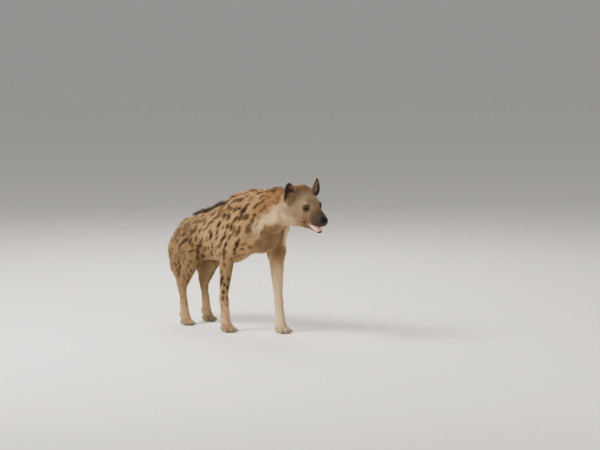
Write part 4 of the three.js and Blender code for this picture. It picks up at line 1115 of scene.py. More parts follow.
class Kit:
    """Builds a node tree."""

    def __init__(self, tree):
        self.tree = tree

    def node(self, kind, settings=None, **sockets):
        """Adds a node: settings first, then sockets by name, or by number as s0, s1 and so on."""
        node = self.tree.nodes.new(kind)
        for key, value in (settings or {}).items():
            setattr(node, key, value)
        for key, value in sockets.items():
            if key[0] == "s" and key[1:].isdigit():
                socket = node.inputs[int(key[1:])]
            else:
                name = key.replace("_", " ")
                socket = next(s for s in node.inputs if s.name == name and s.enabled)
            self.feed(socket, value)
        return Made(self, node)

    def feed(self, socket, value):
        if isinstance(value, Made):
            value = value.get(0)
        if isinstance(value, Value):
            self.tree.links.new(value.socket, socket)
        elif value is not None:
            socket.default_value = value

    def maths(self, operation, a, b):
        return self.node("ShaderNodeMath", {"operation": operation}, s0=a, s1=b).get("Value")

    def mixed(self, share, a, b):
        """Colour b over colour a by a share."""
        node = self.tree.nodes.new("ShaderNodeMix")
        node.data_type = "RGBA"
        node.clamp_factor = True
        for name, value in (("Factor_Float", share), ("A_Color", a), ("B_Color", b)):
            socket = next(s for s in node.inputs if s.identifier == name)
            if isinstance(value, (Value, Made)) or not hasattr(value, "__len__"):
                self.feed(socket, value)
            else:
                socket.default_value = (*value[:3], 1)
        return Value(self, next(s for s in node.outputs if s.identifier == "Result_Color"))

    def attribute(self, name):
        return self.node("ShaderNodeAttribute", {"attribute_name": name})

    def noise(self, place, scale, detail):
        return self.node("ShaderNodeTexNoise", None, Vector=place, Scale=scale, Detail=detail).get(0)

    def place(self):
        return self.node("ShaderNodeTexCoord").get("Object")

    def grain(self, scale, detail):
        """Noise over the piece, with a scale for each axis."""
        return self.noise(self.node("ShaderNodeMapping", None, Vector=self.place(), Scale=scale), 1.0, detail)

    def bump(self, strength, distance, height):
        return self.node("ShaderNodeBump", None, Strength=strength, Distance=distance, Height=height)


def finish(name, build, **constants):
    """A material whose base comes from build, and whose unchanging values are set on the shader."""
    material = bpy.data.materials.get(name)
    if material:
        return material
    material = bpy.data.materials.new(name)
    material.use_nodes = True
    material.node_tree.nodes.clear()
    kit = Kit(material.node_tree)
    shader = kit.node("ShaderNodeBsdfPrincipled")
    for key, value in constants.items():
        shader.node.inputs[key.replace("_", " ")].default_value = value
    for key, value in build(kit).items():
        kit.feed(shader.node.inputs[key], value)
    output = kit.node("ShaderNodeOutputMaterial")
    kit.tree.links.new(shader.node.outputs[0], output.node.inputs["Surface"])
    return material


# Tufts: one flat, bent, pointed blade of hair on every root, by Geometry Nodes


def tuft_tree(name, segments):
    """Nodes that grow one blade from every root. The sizes are named inputs."""
    tree = bpy.data.node_groups.new(name, "GeometryNodeTree")
    tree.interface.new_socket("Geometry", in_out="INPUT", socket_type="NodeSocketGeometry")
    for label, value in (("Bend", 0.12), ("Thickness", 0.02), ("Root width", 0.7)):
        tree.interface.new_socket(label, in_out="INPUT", socket_type="NodeSocketFloat").default_value = value
    tree.interface.new_socket("Finish", in_out="INPUT", socket_type="NodeSocketMaterial")
    tree.interface.new_socket("Geometry", in_out="OUTPUT", socket_type="NodeSocketGeometry")
    kit = Kit(tree)
    entry = kit.node("NodeGroupInput")
    cone = kit.node(
        "GeometryNodeMeshCone",
        {"fill_type": "NGON"},
        Vertices=3,
        Side_Segments=segments,
        Radius_Top=0.0,
        Radius_Bottom=1.0,
        Depth=1.0,
    )
    axes = kit.node("ShaderNodeSeparateXYZ", None, Vector=kit.node("GeometryNodeInputPosition"))
    x, y, z = axes.get("X"), axes.get("Y"), axes.get("Z")
    root = entry.get("Root width")
    wide = (root + (1.3 - root) * z) * (1 - z**2.2) / (1.0001 - z)
    bent = x * wide * entry.get("Thickness") - entry.get("Bend") * z * z
    blade = kit.node("ShaderNodeCombineXYZ", None, X=bent, Y=y * wide, Z=z)
    shaped = kit.node("GeometryNodeSetPosition", None, Geometry=cone.get("Mesh"), Position=blade)
    marked = kit.node(
        "GeometryNodeStoreNamedAttribute",
        {"data_type": "FLOAT", "domain": "POINT"},
        Geometry=shaped.get("Geometry"),
        Name="along",
        Value=z,
    )
    patch = kit.node("ShaderNodeCombineXYZ", None, X=z - 0.5, Y=y * 0.5, Z=0.0)
    marked = kit.node(
        "GeometryNodeStoreNamedAttribute",
        {"data_type": "FLOAT_VECTOR", "domain": "POINT"},
        Geometry=marked.get("Geometry"),
        Name="patch",
        Value=patch,
    )

    def named(label):
        kind = {"data_type": "FLOAT_VECTOR"}
        return kit.node("GeometryNodeInputNamedAttribute", kind, Name=label).get("Attribute")

    stance = kit.node(
        "FunctionNodeAxesToRotation",
        {"primary_axis": "Z", "secondary_axis": "X"},
        Primary_Axis=named("dir"),
        Secondary_Axis=named("out"),
    )
    grown = kit.node(
        "GeometryNodeInstanceOnPoints",
        None,
        Points=entry.get("Geometry"),
        Instance=marked.get("Geometry"),
        Rotation=stance,
        Scale=named("size"),
    )
    real = kit.node("GeometryNodeRealizeInstances", None, Geometry=grown.get("Instances"))
    small = kit.node("ShaderNodeVectorMath", {"operation": "SCALE"}, s0=named("patch"), Scale=PATCH)
    at = kit.node("ShaderNodeVectorMath", {"operation": "ADD"}, s0=named("root_uv"), s1=small)
    mapped = kit.node(
        "GeometryNodeStoreNamedAttribute",
        {"data_type": "FLOAT2", "domain": "CORNER"},
        Geometry=real.get("Geometry"),
        Name="OFBake",
        Value=at,
    )
    dressed = kit.node(
        "GeometryNodeSetMaterial", None, Geometry=mapped.get("Geometry"), Material=entry.get("Finish")
    )
    leave = kit.node("NodeGroupOutput")
    tree.links.new(dressed.node.outputs[0], leave.node.inputs[0])
    return tree


PATCH = 0.003
GROWING = ("dir", "out", "size", "root_uv", "patch")


def set_attribute(mesh, name, kind, values):
    """Stores one value for each corner of a mesh."""
    found = mesh.attributes.new(name, kind, "POINT")
    key = {"FLOAT": "value", "FLOAT_VECTOR": "vector", "FLOAT_COLOR": "color"}[kind]
    found.data.foreach_set(key, np.asarray(values, np.float32).ravel())


def grow(name, tree, roots, finish_of_hair, **sizes):
    """Grows tufts from roots, given as arrays in metres, and returns them as one plain object."""
    mesh = bpy.data.meshes.new(name + "_roots")
    mesh.from_pydata(roots["places"].tolist(), [], [])
    for key, kind in (
        ("dir", "FLOAT_VECTOR"),
        ("out", "FLOAT_VECTOR"),
        ("size", "FLOAT_VECTOR"),
        ("root_uv", "FLOAT_VECTOR"),
        ("marks", "FLOAT_COLOR"),
        ("shade", "FLOAT"),
        ("deep", "FLOAT"),
    ):
        set_attribute(mesh, key, kind, roots[key])
    grower = add_object(name + "_roots", mesh)
    modifier = grower.modifiers.new("Tufts", "NODES")
    modifier.node_group = tree
    sockets = {item.name: item.identifier for item in tree.interface.items_tree if item.in_out == "INPUT"}
    for key, value in sizes.items():
        modifier[sockets[key.replace("_", " ")]] = value
    modifier[sockets["Finish"]] = finish_of_hair
    depsgraph = bpy.context.evaluated_depsgraph_get()
    hair = bpy.data.meshes.new_from_object(grower.evaluated_get(depsgraph), depsgraph=depsgraph)
    bpy.data.objects.remove(grower)
    bpy.data.meshes.remove(mesh)
    hair.name = name
    for key in GROWING:
        if key in hair.attributes:
            hair.attributes.remove(hair.attributes[key])
    return add_object(name, hair)


def lifted(lie, normals, angle):
    """The lie of the hair, raised from the skin by an angle."""
    return lie * np.cos(angle)[:, None] + normals * np.sin(angle)[:, None]


def spread(uv):
    """A place on the unwrap as a three-part vector."""
    return np.concatenate((uv, np.zeros((len(uv), 1))), 1)


def streaks(points, lie, across, along, seed):
    """Soft streaks that run the way the hair lies."""
    drawn = points - lie * (points * lie).sum(1)[:, None] * (1 - across / along)
    return wander(drawn, across, seed)


# Finishes


def hair_colour(kit, look, depth):
    """Colour of hair or skin from its marks: sandy, between its lit and shaded copies, then rusty, pale,
    spotted and dark, darkened as painted shade deep in the coat.
    """
    marks = kit.attribute("marks")
    parts = kit.node("ShaderNodeSeparateColor", None, Color=marks.get("Color"))
    shade = kit.attribute("shade").get("Fac")
    # the sandy hair varies between a lit and a shaded copy by the shade attribute: painted light and shade
    base = kit.mixed(shade, look.sandy_shaded, look.sandy)
    base = kit.mixed(parts.get("Blue"), base, look.rusty)
    base = kit.mixed(parts.get("Green"), base, look.pale)
    base = kit.mixed(parts.get("Red"), base, look.spot)
    base = kit.mixed(marks.get("Alpha"), base, look.dark)
    # depth darkens the colour towards black: painted shade among the hairs and at their roots
    return kit.mixed(depth * (0.72 + shade * 0.5), (0, 0, 0), base)


def coat_finish(look):
    def build(kit):
        along = kit.attribute("along").get("Fac").step(0, 0.9)
        deep = kit.attribute("deep").get("Fac")
        # the roots of long hair are darker than the tips: painted shade deep in the coat
        return {"Base Color": hair_colour(kit, look, 0.98 - deep * 0.5 + along * (deep * 0.6))}

    return finish("coat_hair", build, Roughness=0.78, Specular_IOR_Level=0.24, Sheen_Weight=0.03)


BARE_SKIN_DARK, BARE_SKIN = (0.018, 0.012, 0.01), (0.065, 0.044, 0.035)
IRIS_RIM, EYE_WHITE, PUPIL = (0.012, 0.008, 0.007), (0.06, 0.04, 0.032), (0.002, 0.002, 0.002)


def lighter(colour_of_piece, times):
    return tuple(times * c for c in colour_of_piece)


def skin_finish(look):
    def build(kit):
        flesh = kit.attribute("flesh")
        parts = kit.node("ShaderNodeSeparateColor", None, Color=flesh.get("Color"))
        fine = kit.grain((300, 300, 300), 4)
        hair = kit.grain((500, 500, 180), 2)
        deep = flesh.get("Alpha")
        # skin under deep hair is darkened: painted shade beneath the coat
        base = hair_colour(kit, look, 0.9 - deep * 0.5 + (hair - 0.5) * 0.3)
        bare = kit.mixed(fine, BARE_SKIN_DARK, BARE_SKIN)
        base = kit.mixed(parts.get("Blue"), base, bare)
        base = kit.mixed(parts.get("Red"), base, kit.mixed(fine, look.mouth_shaded, look.mouth))
        base = kit.mixed(parts.get("Green"), base, look.lips)
        wet = parts.get("Red").largest(parts.get("Green") * 0.7)
        bump = kit.bump(0.4, 0.0006, fine + hair)
        return {"Base Color": base, "Roughness": 0.75 - wet * 0.4, "Normal": bump}

    return finish("skin", build, Specular_IOR_Level=0.35)


def eye_finish(look):
    def build(kit):
        polar = kit.attribute("polar").get("Fac")
        turn_round = kit.attribute("turn").get("Fac")
        fan = kit.node("ShaderNodeCombineXYZ", None, X=turn_round * 9.0, Y=polar * 2.5, Z=0.0)
        rays = kit.noise(fan, 4.0, 3)
        iris = kit.mixed(rays, look.iris_shaded, look.iris)
        edge = polar.step(0.5, 0.66)
        base = kit.mixed(edge, iris, IRIS_RIM)
        base = kit.mixed(polar.step(0.8, 1.1), base, EYE_WHITE)
        base = kit.mixed(1 - polar.step(0.2, 0.26), base, PUPIL)
        return {"Base Color": base, "Roughness": 0.16 + edge * 0.1}

    wet = {"Coat_Weight": 0.12, "Coat_Roughness": 0.03, "IOR": 1.36, "Specular_IOR_Level": 0.15}
    return finish("eye_surface", build, **wet)


def nose_finish(look):
    def build(kit):
        edges = {"feature": "DISTANCE_TO_EDGE"}
        cells = kit.node("ShaderNodeTexVoronoi", edges, Vector=kit.place(), Scale=620.0)
        wide = kit.grain((160, 160, 160), 3)
        base = kit.mixed(wide, look.nose, lighter(look.nose, 3.0))
        bump = kit.bump(0.55, 0.0005, cells.get("Distance").step(0, 0.14) + wide * 0.3)
        return {"Base Color": base, "Roughness": 0.5 + wide * 0.25, "Normal": bump}

    return finish("nose_surface", build, Specular_IOR_Level=0.12)


def tongue_finish(look):
    def build(kit):
        fine = kit.grain((900, 900, 900), 3)
        wide = kit.grain((90, 90, 90), 2)
        base = kit.mixed(wide, look.mouth_shaded, look.tongue)
        bump = kit.bump(0.5, 0.0005, fine)
        return {"Base Color": base, "Roughness": 0.32 + fine * 0.2, "Normal": bump}

    return finish("tongue_surface", build, Specular_IOR_Level=0.5)


def tooth_finish(look):
    def build(kit):
        along = kit.attribute("along").get("Fac")
        wide = kit.grain((220, 220, 90), 3)
        base = kit.mixed(along.step(0.1, 0.7), look.tooth_root, look.tooth)
        base = kit.mixed(wide.step(0.5, 0.8) * 0.5, base, look.tooth_root)
        bump = kit.bump(0.2, 0.0004, wide)
        return {"Base Color": base, "Roughness": 0.28 + wide * 0.15, "Normal": bump}

    return finish("tooth_surface", build, Specular_IOR_Level=0.5)


def claw_finish(look):
    def build(kit):
        along = kit.attribute("along").get("Fac")
        lines = kit.grain((900, 900, 160), 3)
        base = kit.mixed(along.step(0.2, 1.0), look.claw, lighter(look.claw, 3.2))
        base = kit.mixed(lines.step(0.45, 0.7) * 0.5, base, lighter(look.claw, 4.0))
        bump = kit.bump(0.3, 0.0004, lines)
        return {"Base Color": base, "Roughness": 0.38 + lines * 0.2, "Normal": bump}

    return finish("claw_surface", build, Specular_IOR_Level=0.5)


def floor_finish(look):
    def build(kit):
        wide = kit.noise(kit.place(), 1.4, 3)
        base = kit.mixed(wide, look.floor, lighter(look.floor, 0.96))
        return {"Base Color": base, "Roughness": 0.9 + wide * 0.05}

    return finish("floor_surface", build, Specular_IOR_Level=0.2)


# Small pieces of the face and feet


def horn_rings(root, way, toward, length, radius, flat, bend, tip, rings, sides):
    """Rings of a bent cone from its root, then its two end points."""
    way = way / np.linalg.norm(way)
    across = np.cross(way, toward)
    across /= np.linalg.norm(across)
    up = np.cross(across, way)
    point = root.copy()
    made = []
    for r in range(rings):
        s = r / rings
        ahead = way * math.cos(bend * s) + up * math.sin(bend * s)
        side = np.cross(across, ahead)
        if r:
            point = point + ahead * length / rings
        size = radius * (1 - (1 - tip) * s**1.7) * (1 if r < rings - 1 else 0.8)
        turns = 2 * math.pi * np.arange(sides) / sides
        made.append(point + size * (flat * np.cos(turns)[:, None] * across + np.sin(turns)[:, None] * side))
    ahead = way * math.cos(bend) + up * math.sin(bend)
    return made, (root, point + ahead * length / rings * 0.7)


def horns(name, specs, rings=7, sides=12):
    """Many bent cones as one mesh, each with how far along it is."""
    corners, faces, along = [], [], []
    for spec in specs:
        made, ends = horn_rings(rings=rings, sides=sides, **spec)
        start = len(corners)
        for r, ring in enumerate(made):
            corners.extend(ring)
            along.extend([r / rings] * sides)
        corners.extend(ends)
        along.extend((0, 1))
        for r in range(rings - 1):
            for c in range(sides):
                a, b = start + r * sides + c, start + r * sides + (c + 1) % sides
                faces.append((a, b, b + sides, a + sides))
        first, last = start + rings * sides, start + rings * sides + 1
        base = start + (rings - 1) * sides
        for c in range(sides):
            faces.append((first, start + (c + 1) % sides, start + c))
            faces.append((last, base + c, base + (c + 1) % sides))
    mesh = bpy.data.meshes.new(name)
    mesh.from_pydata([tuple(to_metres(p)) for p in corners], [], faces)
    set_attribute(mesh, "along", "FLOAT", along)
    outward(mesh)
    shade_smooth(mesh)
    return mesh


def outward(mesh):
    """Turns every face of a closed mesh outwards."""
    shape = bmesh.new()
    shape.from_mesh(mesh)
    bmesh.ops.recalc_face_normals(shape, faces=shape.faces)
    shape.to_mesh(mesh)
    shape.free()


UP, DOWN = 1, -1
# along the head, out from the middle, height of the root, length and radius of each tooth
UPPER_TEETH = (
    (163, 17, -54, 19, 4.6),
    (150, 20, -54, 10, 3.6),
    (139, 23, -54, 13, 5.0),
    (126, 26, -54, 15, 6.0),
    (111, 28.5, -54, 14, 6.4),
    (175, 3, -56, 10, 2.4),
    (173.5, 7.5, -56, 10.5, 2.5),
    (170, 12, -56, 12, 3.0),
)
LOWER_TEETH = (
    (162, 12, -92, 19, 4.2),
    (151, 14.5, -89, 10.5, 4.8),
    (142, 16.5, -88, 10.5, 5.2),
    (132, 19, -87.5, 11.5, 5.8),
    (121, 21.5, -86.5, 12, 6.2),
    (109, 23.5, -85, 11.5, 6.4),
    (170.5, 2.5, -91, 9.5, 2.4),
    (169, 6.5, -91, 10, 2.6),
)


def tooth_specs(row, toward):
    for x, y, z, length, radius in row:
        for side in (1, -1):
            yield {
                "root": head_point(x, side * y, z),
                "way": head_way(0, 0, toward),
                "toward": head_way(-1, 0, 0),
                "length": length,
                "radius": radius,
                "flat": 0.8,
                "bend": 0.32,
                "tip": 0.2,
            }


def claw_specs():
    for foot, y, size in FEET:
        for toe in TOES:
            yield {
                "root": np.array(toe_tip(foot, y, toe, size)) + np.array((5 * size, 0, 3 * size)),
                "way": np.array((1, 0.006 * toe[0], 0.12)),
                "toward": np.array((0.0, 0.0, -1.0)),
                "length": 24 * size,
                "radius": 5.0,
                "flat": 0.66,
                "bend": 0.75,
                "tip": 0.22,
            }


def form_mesh(name, distance, low, high, cell):
    """A closed surface of a small form given in the head's frame."""
    net = grid_net(distance, low, high, cell)
    places = settled(net.places, distance, 3)
    mesh = bpy.data.meshes.new(name)
    mesh.from_pydata(to_metres(from_head(places)).tolist(), [], net.quads.tolist())
    outward(mesh)
    shade_smooth(mesh)
    return mesh


NOSE = [
    muscle((190, -9, -24), (190, 9, -24), 13.5, 13.5, 1, 1, 10),
    muscle((180, 0, -14), (187, 0, -17), 13, 12, 1.3, 1.3, 10),
    muscle((192, 0, -34), (190, 0, -44), 7, 4, 1, 1, 8),
]
NOSTRILS = pair((212, 8, -27), (196, 11, -26), 5, 3.6) + pair((204, 13, -28), (194, 22, -32), 3, 1.8)
TONGUE = [
    muscle((84, 0, -80), (128, 0, -78), 10, 9, 1.9, 1.9, 10),
    muscle((128, 0, -78), (157, 0, -80), 9, 7, 1.9, 1.8, 10),
]


def nose_distance(q):
    """Signed distance to the nose leather, with its nostrils and the groove below them."""
    solid = melted(NOSE, q)
    holes = np.minimum.reduce([muscle_distance(m, q) for m in NOSTRILS])
    middle = np.hypot(q[:, 1], (q[:, 2] + 36) * 0.2) - 0.7
    front = np.where(q[:, 0] > 196, middle, 20)
    return carve(carve(solid, holes, 3), front, 1.5)


def tongue_distance(q):
    """Signed distance to the tongue, with the groove along its middle."""
    solid = melted(TONGUE, q)
    groove = np.hypot(q[:, 1], (q[:, 2] + 66.5) * 0.7) - 1.6
    return carve(solid, groove, 5)


CORNEA = 0.055


def eyeball(name, eye, rings=40, sides=64):
    """An eyeball with its cornea, and how far each corner is from where it looks."""
    centre, way, along, up = eye
    corners, polar, turns, faces = [], [], [], []
    for r in range(1, rings):
        angle = math.pi * (r / rings) ** 1.25
        bulge = 1 + CORNEA * (1 - float(smooth(0.25, 0.62, np.array(angle))))
        reach = EYE_RADIUS * bulge
        for c in range(sides):
            angle_round = 2 * math.pi * c / sides
            across = along * math.cos(angle_round) + up * math.sin(angle_round)
            corners.append(centre + reach * (way * math.cos(angle) + across * math.sin(angle)))
            polar.append(angle)
            turns.append(abs(angle_round - math.pi) / math.pi)
    corners += [centre + way * EYE_RADIUS * (1 + CORNEA), centre - way * EYE_RADIUS]
    polar += [0, math.pi]
    turns += [0, 0]
    for r in range(rings - 2):
        for c in range(sides):
            a, b = r * sides + c, r * sides + (c + 1) % sides
            faces.append((a, a + sides, b + sides, b))
    front, back = len(corners) - 2, len(corners) - 1
    last = (rings - 2) * sides
    for c in range(sides):
        faces.append((front, c, (c + 1) % sides))
        faces.append((back, last + (c + 1) % sides, last + c))
    mesh = bpy.data.meshes.new(name)
    mesh.from_pydata([tuple(to_metres(p)) for p in corners], [], faces)
    set_attribute(mesh, "polar", "FLOAT", polar)
    set_attribute(mesh, "turn", "FLOAT", turns)
    outward(mesh)
    shade_smooth(mesh)
    return mesh


# Sizes and colours a user may change


def metres(name, description, default):
    return FloatProperty(name=name, description=description, default=default, unit="LENGTH")


def against_usual(name, description):
    return FloatProperty(name=name, description=description, default=1.0, min=0.05, subtype="FACTOR")


def colour(name, description, default):
    return FloatVectorProperty(
        name=name, description=description, default=default, size=3, subtype="COLOR", min=0, max=1
    )


class HyenaSizes(PropertyGroup):
    """Fineness of the skin and sizes of the coat."""

    body_cell: metres("Body grid", "Cell of the grid that the body's skin is made on", 0.0065)
    head_cell: metres("Head grid", "Cell of the grid that the head's skin is made on", 0.0027)
    foot_cell: metres("Foot grid", "Cell of the grid that the feet's skin is made on", 0.003)
    density: against_usual("Coat density", "Tufts grown for each one that the spacing asks for")
    length: against_usual("Coat length", "Length of every tuft against the full coat")
    mane: metres("Mane length", "Length of the longest hair of the mane", 0.064)
    crest: metres("Crest length", "Length of the longest hair along the back", 0.060)
    brush: metres("Brush length", "Length of the longest hair of the tail", 0.098)
    fringe: metres("Ear fringe length", "Length of the pale hairs inside the ears", 0.022)
    spot_size: against_usual("Spot size", "Size of the spots against the usual")
    seed: IntProperty(name="Seed", description="Start of every random draw", default=7)


class HyenaLook(PropertyGroup):
    """Colours of the coat, skin, eyes and teeth."""

    sandy: colour("Sandy hair", "Lit hair of the flank", (0.61, 0.375, 0.155))
    sandy_shaded: colour("Shaded sandy hair", "Deeper hair of the flank", (0.28, 0.165, 0.078))
    pale: colour("Pale hair", "Hair of the throat, lower neck and inner legs", (0.80, 0.60, 0.36))
    rusty: colour("Rusty hair", "Hair of the crown and upper neck", (0.27, 0.13, 0.045))
    spot: colour("Spots", "Dark spots of the coat", (0.022, 0.012, 0.007))
    dark: colour("Dark hair", "Hair of the muzzle, ears, crest and brush", (0.034, 0.023, 0.016))
    lips: colour("Lips", "Bare dark skin of the lips and lids", (0.018, 0.013, 0.012))
    mouth: colour("Mouth", "Lining of the mouth", (0.80, 0.42, 0.34))
    mouth_shaded: colour("Deep mouth", "Deeper lining of the mouth", (0.62, 0.28, 0.23))
    tongue: colour("Tongue", "Top of the tongue", (0.82, 0.44, 0.38))
    nose: colour("Nose", "Leather of the nose", (0.004, 0.0032, 0.003))
    iris: colour("Iris", "Lit part of the iris", (0.018, 0.009, 0.005))
    iris_shaded: colour("Deep iris", "Deep part of the iris", (0.010, 0.006, 0.004))
    tooth: colour("Tooth", "Crown of the teeth", (0.78, 0.72, 0.60))
    tooth_root: colour("Tooth root", "Teeth near the gum", (0.52, 0.40, 0.25))
    claw: colour("Claw", "Horn of the claws", (0.045, 0.036, 0.03))
    floor: colour("Floor", "Plain pale floor", (0.78, 0.77, 0.75))


def sizes():
    return bpy.context.scene.hyena_sizes


class Look:
    """The colours as plain tuples."""

    def __init__(self):
        for key in HyenaLook.__annotations__:
            setattr(self, key, tuple(getattr(bpy.context.scene.hyena_look, key)))


# The steps: one operator for each piece or group of like pieces


def skin_parts():
    """The skin's corners, in millimetres, its triangles and its spots."""
    shell = bpy.data.objects.get("skin")
    if shell is None:
        raise RuntimeError("The skin has to be made first")
    mesh = shell.data
    mesh.calc_loop_triangles()
    faces = np.empty(len(mesh.loop_triangles) * 3, int)
    mesh.loop_triangles.foreach_get("vertices", faces)
    places = places_of(mesh) / MM + CENTRE
    return places, faces.reshape(-1, 3), spots_of(places, corner_normals(mesh))


def corner_normals(mesh):
    found = np.empty(len(mesh.vertices) * 3)
    mesh.vertex_normals.foreach_get("vector", found)
    return found.reshape(-1, 3)


def spots_of(places, normals):
    return Spots(places, normals, sizes().seed, sizes().spot_size)


def dress(piece, slot, *nodes):
    """Fixes a piece to the body and hides the solids that it replaces; the slot is not used."""
    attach(piece, "root")
    if nodes:
        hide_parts(*nodes)


class SKIN_OT_make(Operator):
    """Makes the closed skin that replaces the solids of flesh"""

    bl_idname = "hyena.make_skin"
    bl_label = "Skin"

    def execute(self, context):
        size = sizes()
        net = skin_net(size.body_cell / MM, size.head_cell / MM, size.foot_cell / MM)
        if net.loops():
            raise RuntimeError("The skin isn't closed")
        places = settled(net.places, whole_distance)
        mesh = bpy.data.meshes.new("skin")
        mesh.from_pydata(to_metres(places).tolist(), [], net.quads.tolist() + net.triangles.tolist())
        finer_round_eyes(mesh)
        places = places_of(mesh) / MM + CENTRE
        near = from_eyes(places) < SETTLE_REACH
        places[near] = settled(places[near], skin_distance)
        set_places(mesh, to_metres(places))
        outward(mesh)
        shade_smooth(mesh)
        shell = add_object("skin", mesh)
        normals = corner_normals(mesh)
        set_attribute(mesh, "marks", "FLOAT_COLOR", marks_of(places, normals, spots_of(places, normals)))
        set_attribute(mesh, "shade", "FLOAT", 0.5 + 0.4 * wander(places, 22, 3))
        set_attribute(mesh, "flesh", "FLOAT_COLOR", flesh_of(places))
        mesh.materials.append(skin_finish(Look()))
        dress(shell, "coat", *FLESH)
        return {"FINISHED"}


FLESH = ("torso", "neck", "head", "jaw", "ear_left", "ear_right", "tail") + tuple(
    f"{part}_{side}" for part in ("foreleg", "forefoot", "hindleg", "hindfoot") for side in ("left", "right")
)


def flesh_of(points):
    """Shares of mouth lining, lips and lids, bare dark skin of ears and soles, and how deep the hair is,
    which darkens the skin as painted shade.
    """
    q = over_head(points)
    face = smooth(-60, -40, q[:, 0])
    mouth = mouth_distance(q)
    inside = face * (1 - smooth(0.6, 1.8, mouth)) * smooth(60, 84, q[:, 0])
    lips = face * (1 - smooth(3.2, 5.5, mouth)) * smooth(66, 84, q[:, 0])
    above, rolled = lip_roll(q)
    lips = np.maximum(lips, rolled * smooth(-6, -4, above))
    inside = np.maximum(inside, rolled * smooth(-1.5, 0.5, above))
    lids = np.zeros(len(points))
    for eye in EYES:
        opening, ball, _, _ = lid_places(points, eye)
        lids = np.maximum(lids, (1 - smooth(1.6, 3.4, opening)) * (1 - smooth(8, 12, ball)))
    lips = np.maximum(lips, face * lids)
    _, inner, _ = on_ears(points)
    soles = 1 - smooth(2, 9, points[:, 2])
    nostrils = 1 - smooth(0.85, 1, from_nose(q, 186, (21, 29, 20)))
    bare = np.maximum.reduce((0.8 * inner, soles, nostrils))
    return np.stack((inside, lips * (1 - inside), bare, depth_share(points)), 1)


def depth_share(points):
    """How deep the hair is, from 0 on the face to 1 on the trunk."""
    return smooth(8, 30, coat_sizes(points)[0])


# half width of a blade against its tuft, and how deep its root sits, in millimetres
BLADE_HALF = 0.58
ROOT_DEPTH, MORE_ON_TRUNK = 0.4, 0.8


class COAT_OT_grow(Operator):
    """Grows the short coat over the whole skin, in pieces"""

    bl_idname = "hyena.grow_coat"
    bl_label = "Coat"

    def execute(self, context):
        size = sizes()
        places, faces, spots = skin_parts()

        def spacing(p):
            return coat_sizes(p)[2]

        points, normals, draw = scattered(places, faces, spacing, size.density, size.seed + 1)
        kept = ~bare_skin(points)
        points, normals = points[kept], normals[kept]
        lie = lie_of(points, normals)
        length, width, _ = coat_sizes(points)
        deep = depth_share(points)
        zone = zone_of(points)
        count = len(points)
        clump = streaks(points, lie, 9, 45, 21)
        side = np.cross(normals, lie)
        sway = 0.16 * streaks(points, lie, 14, 60, 22) + 0.1 * draw.normal(size=count)
        lie = unit(lie + side * sway[:, None])
        flat = 1 - 0.25 * smooth(-20, 60, over_head(points)[:, 0])
        lift = flat * np.clip(0.4 + 0.1 * clump + 0.07 * draw.normal(size=count), 0.15, 0.75)
        length = length * size.length * draw.uniform(0.75, 1.1, count)
        width = width * draw.uniform(0.8, 1.2, count)
        roots = {
            "places": to_metres(points - (ROOT_DEPTH + MORE_ON_TRUNK * deep)[:, None] * normals),
            "dir": level(lifted(lie, normals, lift), points, length),
            "out": normals,
            "deep": deep,
            "size": np.stack((length, width * BLADE_HALF, length), 1) * MM,
            "root_uv": spread(unwrapped(points, zone)),
            "marks": marks_of(points, normals, spots),
            "shade": np.clip(0.5 + 0.3 * clump + 0.22 * draw.normal(size=count), 0, 1),
        }
        bent, straight = tuft_tree("bent_tufts", 2), tuft_tree("straight_tufts", 1)
        look = coat_finish(Look())
        for k, name in enumerate(COAT_PIECES):
            mine = zone == k
            if not mine.any():
                raise RuntimeError(f"No roots for {name}")
            part = {key: values[mine] for key, values in roots.items()}
            if k in (*HEAD_COATS, EAR_COAT):
                piece = grow(name, straight, part, look, Bend=0.0, Thickness=0.02, Root_width=1.0)
            else:
                piece = grow(name, bent, part, look, Bend=0.13, Thickness=0.02)
            dress(piece, "coat")
        return {"FINISHED"}


def along_row(x, low, high):
    """Hair is longest in the middle of its row."""
    return 0.72 + 0.28 * np.sin(math.pi * np.clip((x - low) / (high - low), 0, 1))


def mane_form(points, size):
    """Share of roots, length, lie, lift, darkness and looseness of the mane on the back of the neck."""
    x, y, _ = points.T
    q = in_head(points)
    share = smooth(330, 400, x) * (1 - smooth(-105, -75, q[:, 0])) * (1 - smooth(26, 62, np.abs(y)))
    share = share * smooth(640, 700, points[:, 2])
    length = size.mane / MM * along_row(x, 330, 610) * (1 - 0.3 * smooth(10, 60, np.abs(y)))
    length = length * (1 - 0.35 * smooth(-150, -80, q[:, 0]))
    lie = np.stack((np.ones(len(x)), 0.25 * y / 40, np.full(len(x), 0.1)), 1)
    dark = 0.2 + 0.35 * (1 - smooth(8, 30, np.abs(y)))
    return share, length, lie, 0.4 - 0.18 * smooth(-160, -90, q[:, 0]), dark, 0.7


def crest_form(points, size):
    """The same for the crest along the back, which stands up and is darkest at the rear."""
    x, y, z = points.T
    share = smooth(-250, -190, x) * (1 - smooth(320, 360, x)) * (1 - smooth(12, 26, np.abs(y)))
    share = share * smooth(560, 600, z + 0.25 * (300 - x) * (x < 300))
    length = size.crest / MM * along_row(x, -240, 330)
    lie = np.stack((-np.ones(len(x)), 0.25 * y / 20, np.full(len(x), -0.2)), 1)
    return share, length, lie, 0.85 - 0.3 * smooth(40, 200, x), 0.85 * (1 - smooth(40, 140, x)) + 0.15, 1.0


def brush_form(points, size):
    """The same for the brush, from the middle of the tail down."""
    _, way, along = tail_places(points)
    share = on_tail(points) * smooth(0.36, 0.46, along)
    length = size.brush / MM * (0.8 + 0.2 * smooth(0.4, 0.7, along)) * (1 - 0.25 * smooth(0.8, 1, along))
    return share, length, way, np.full(len(along), 0.16), np.full(len(along), 0.9), 0.5


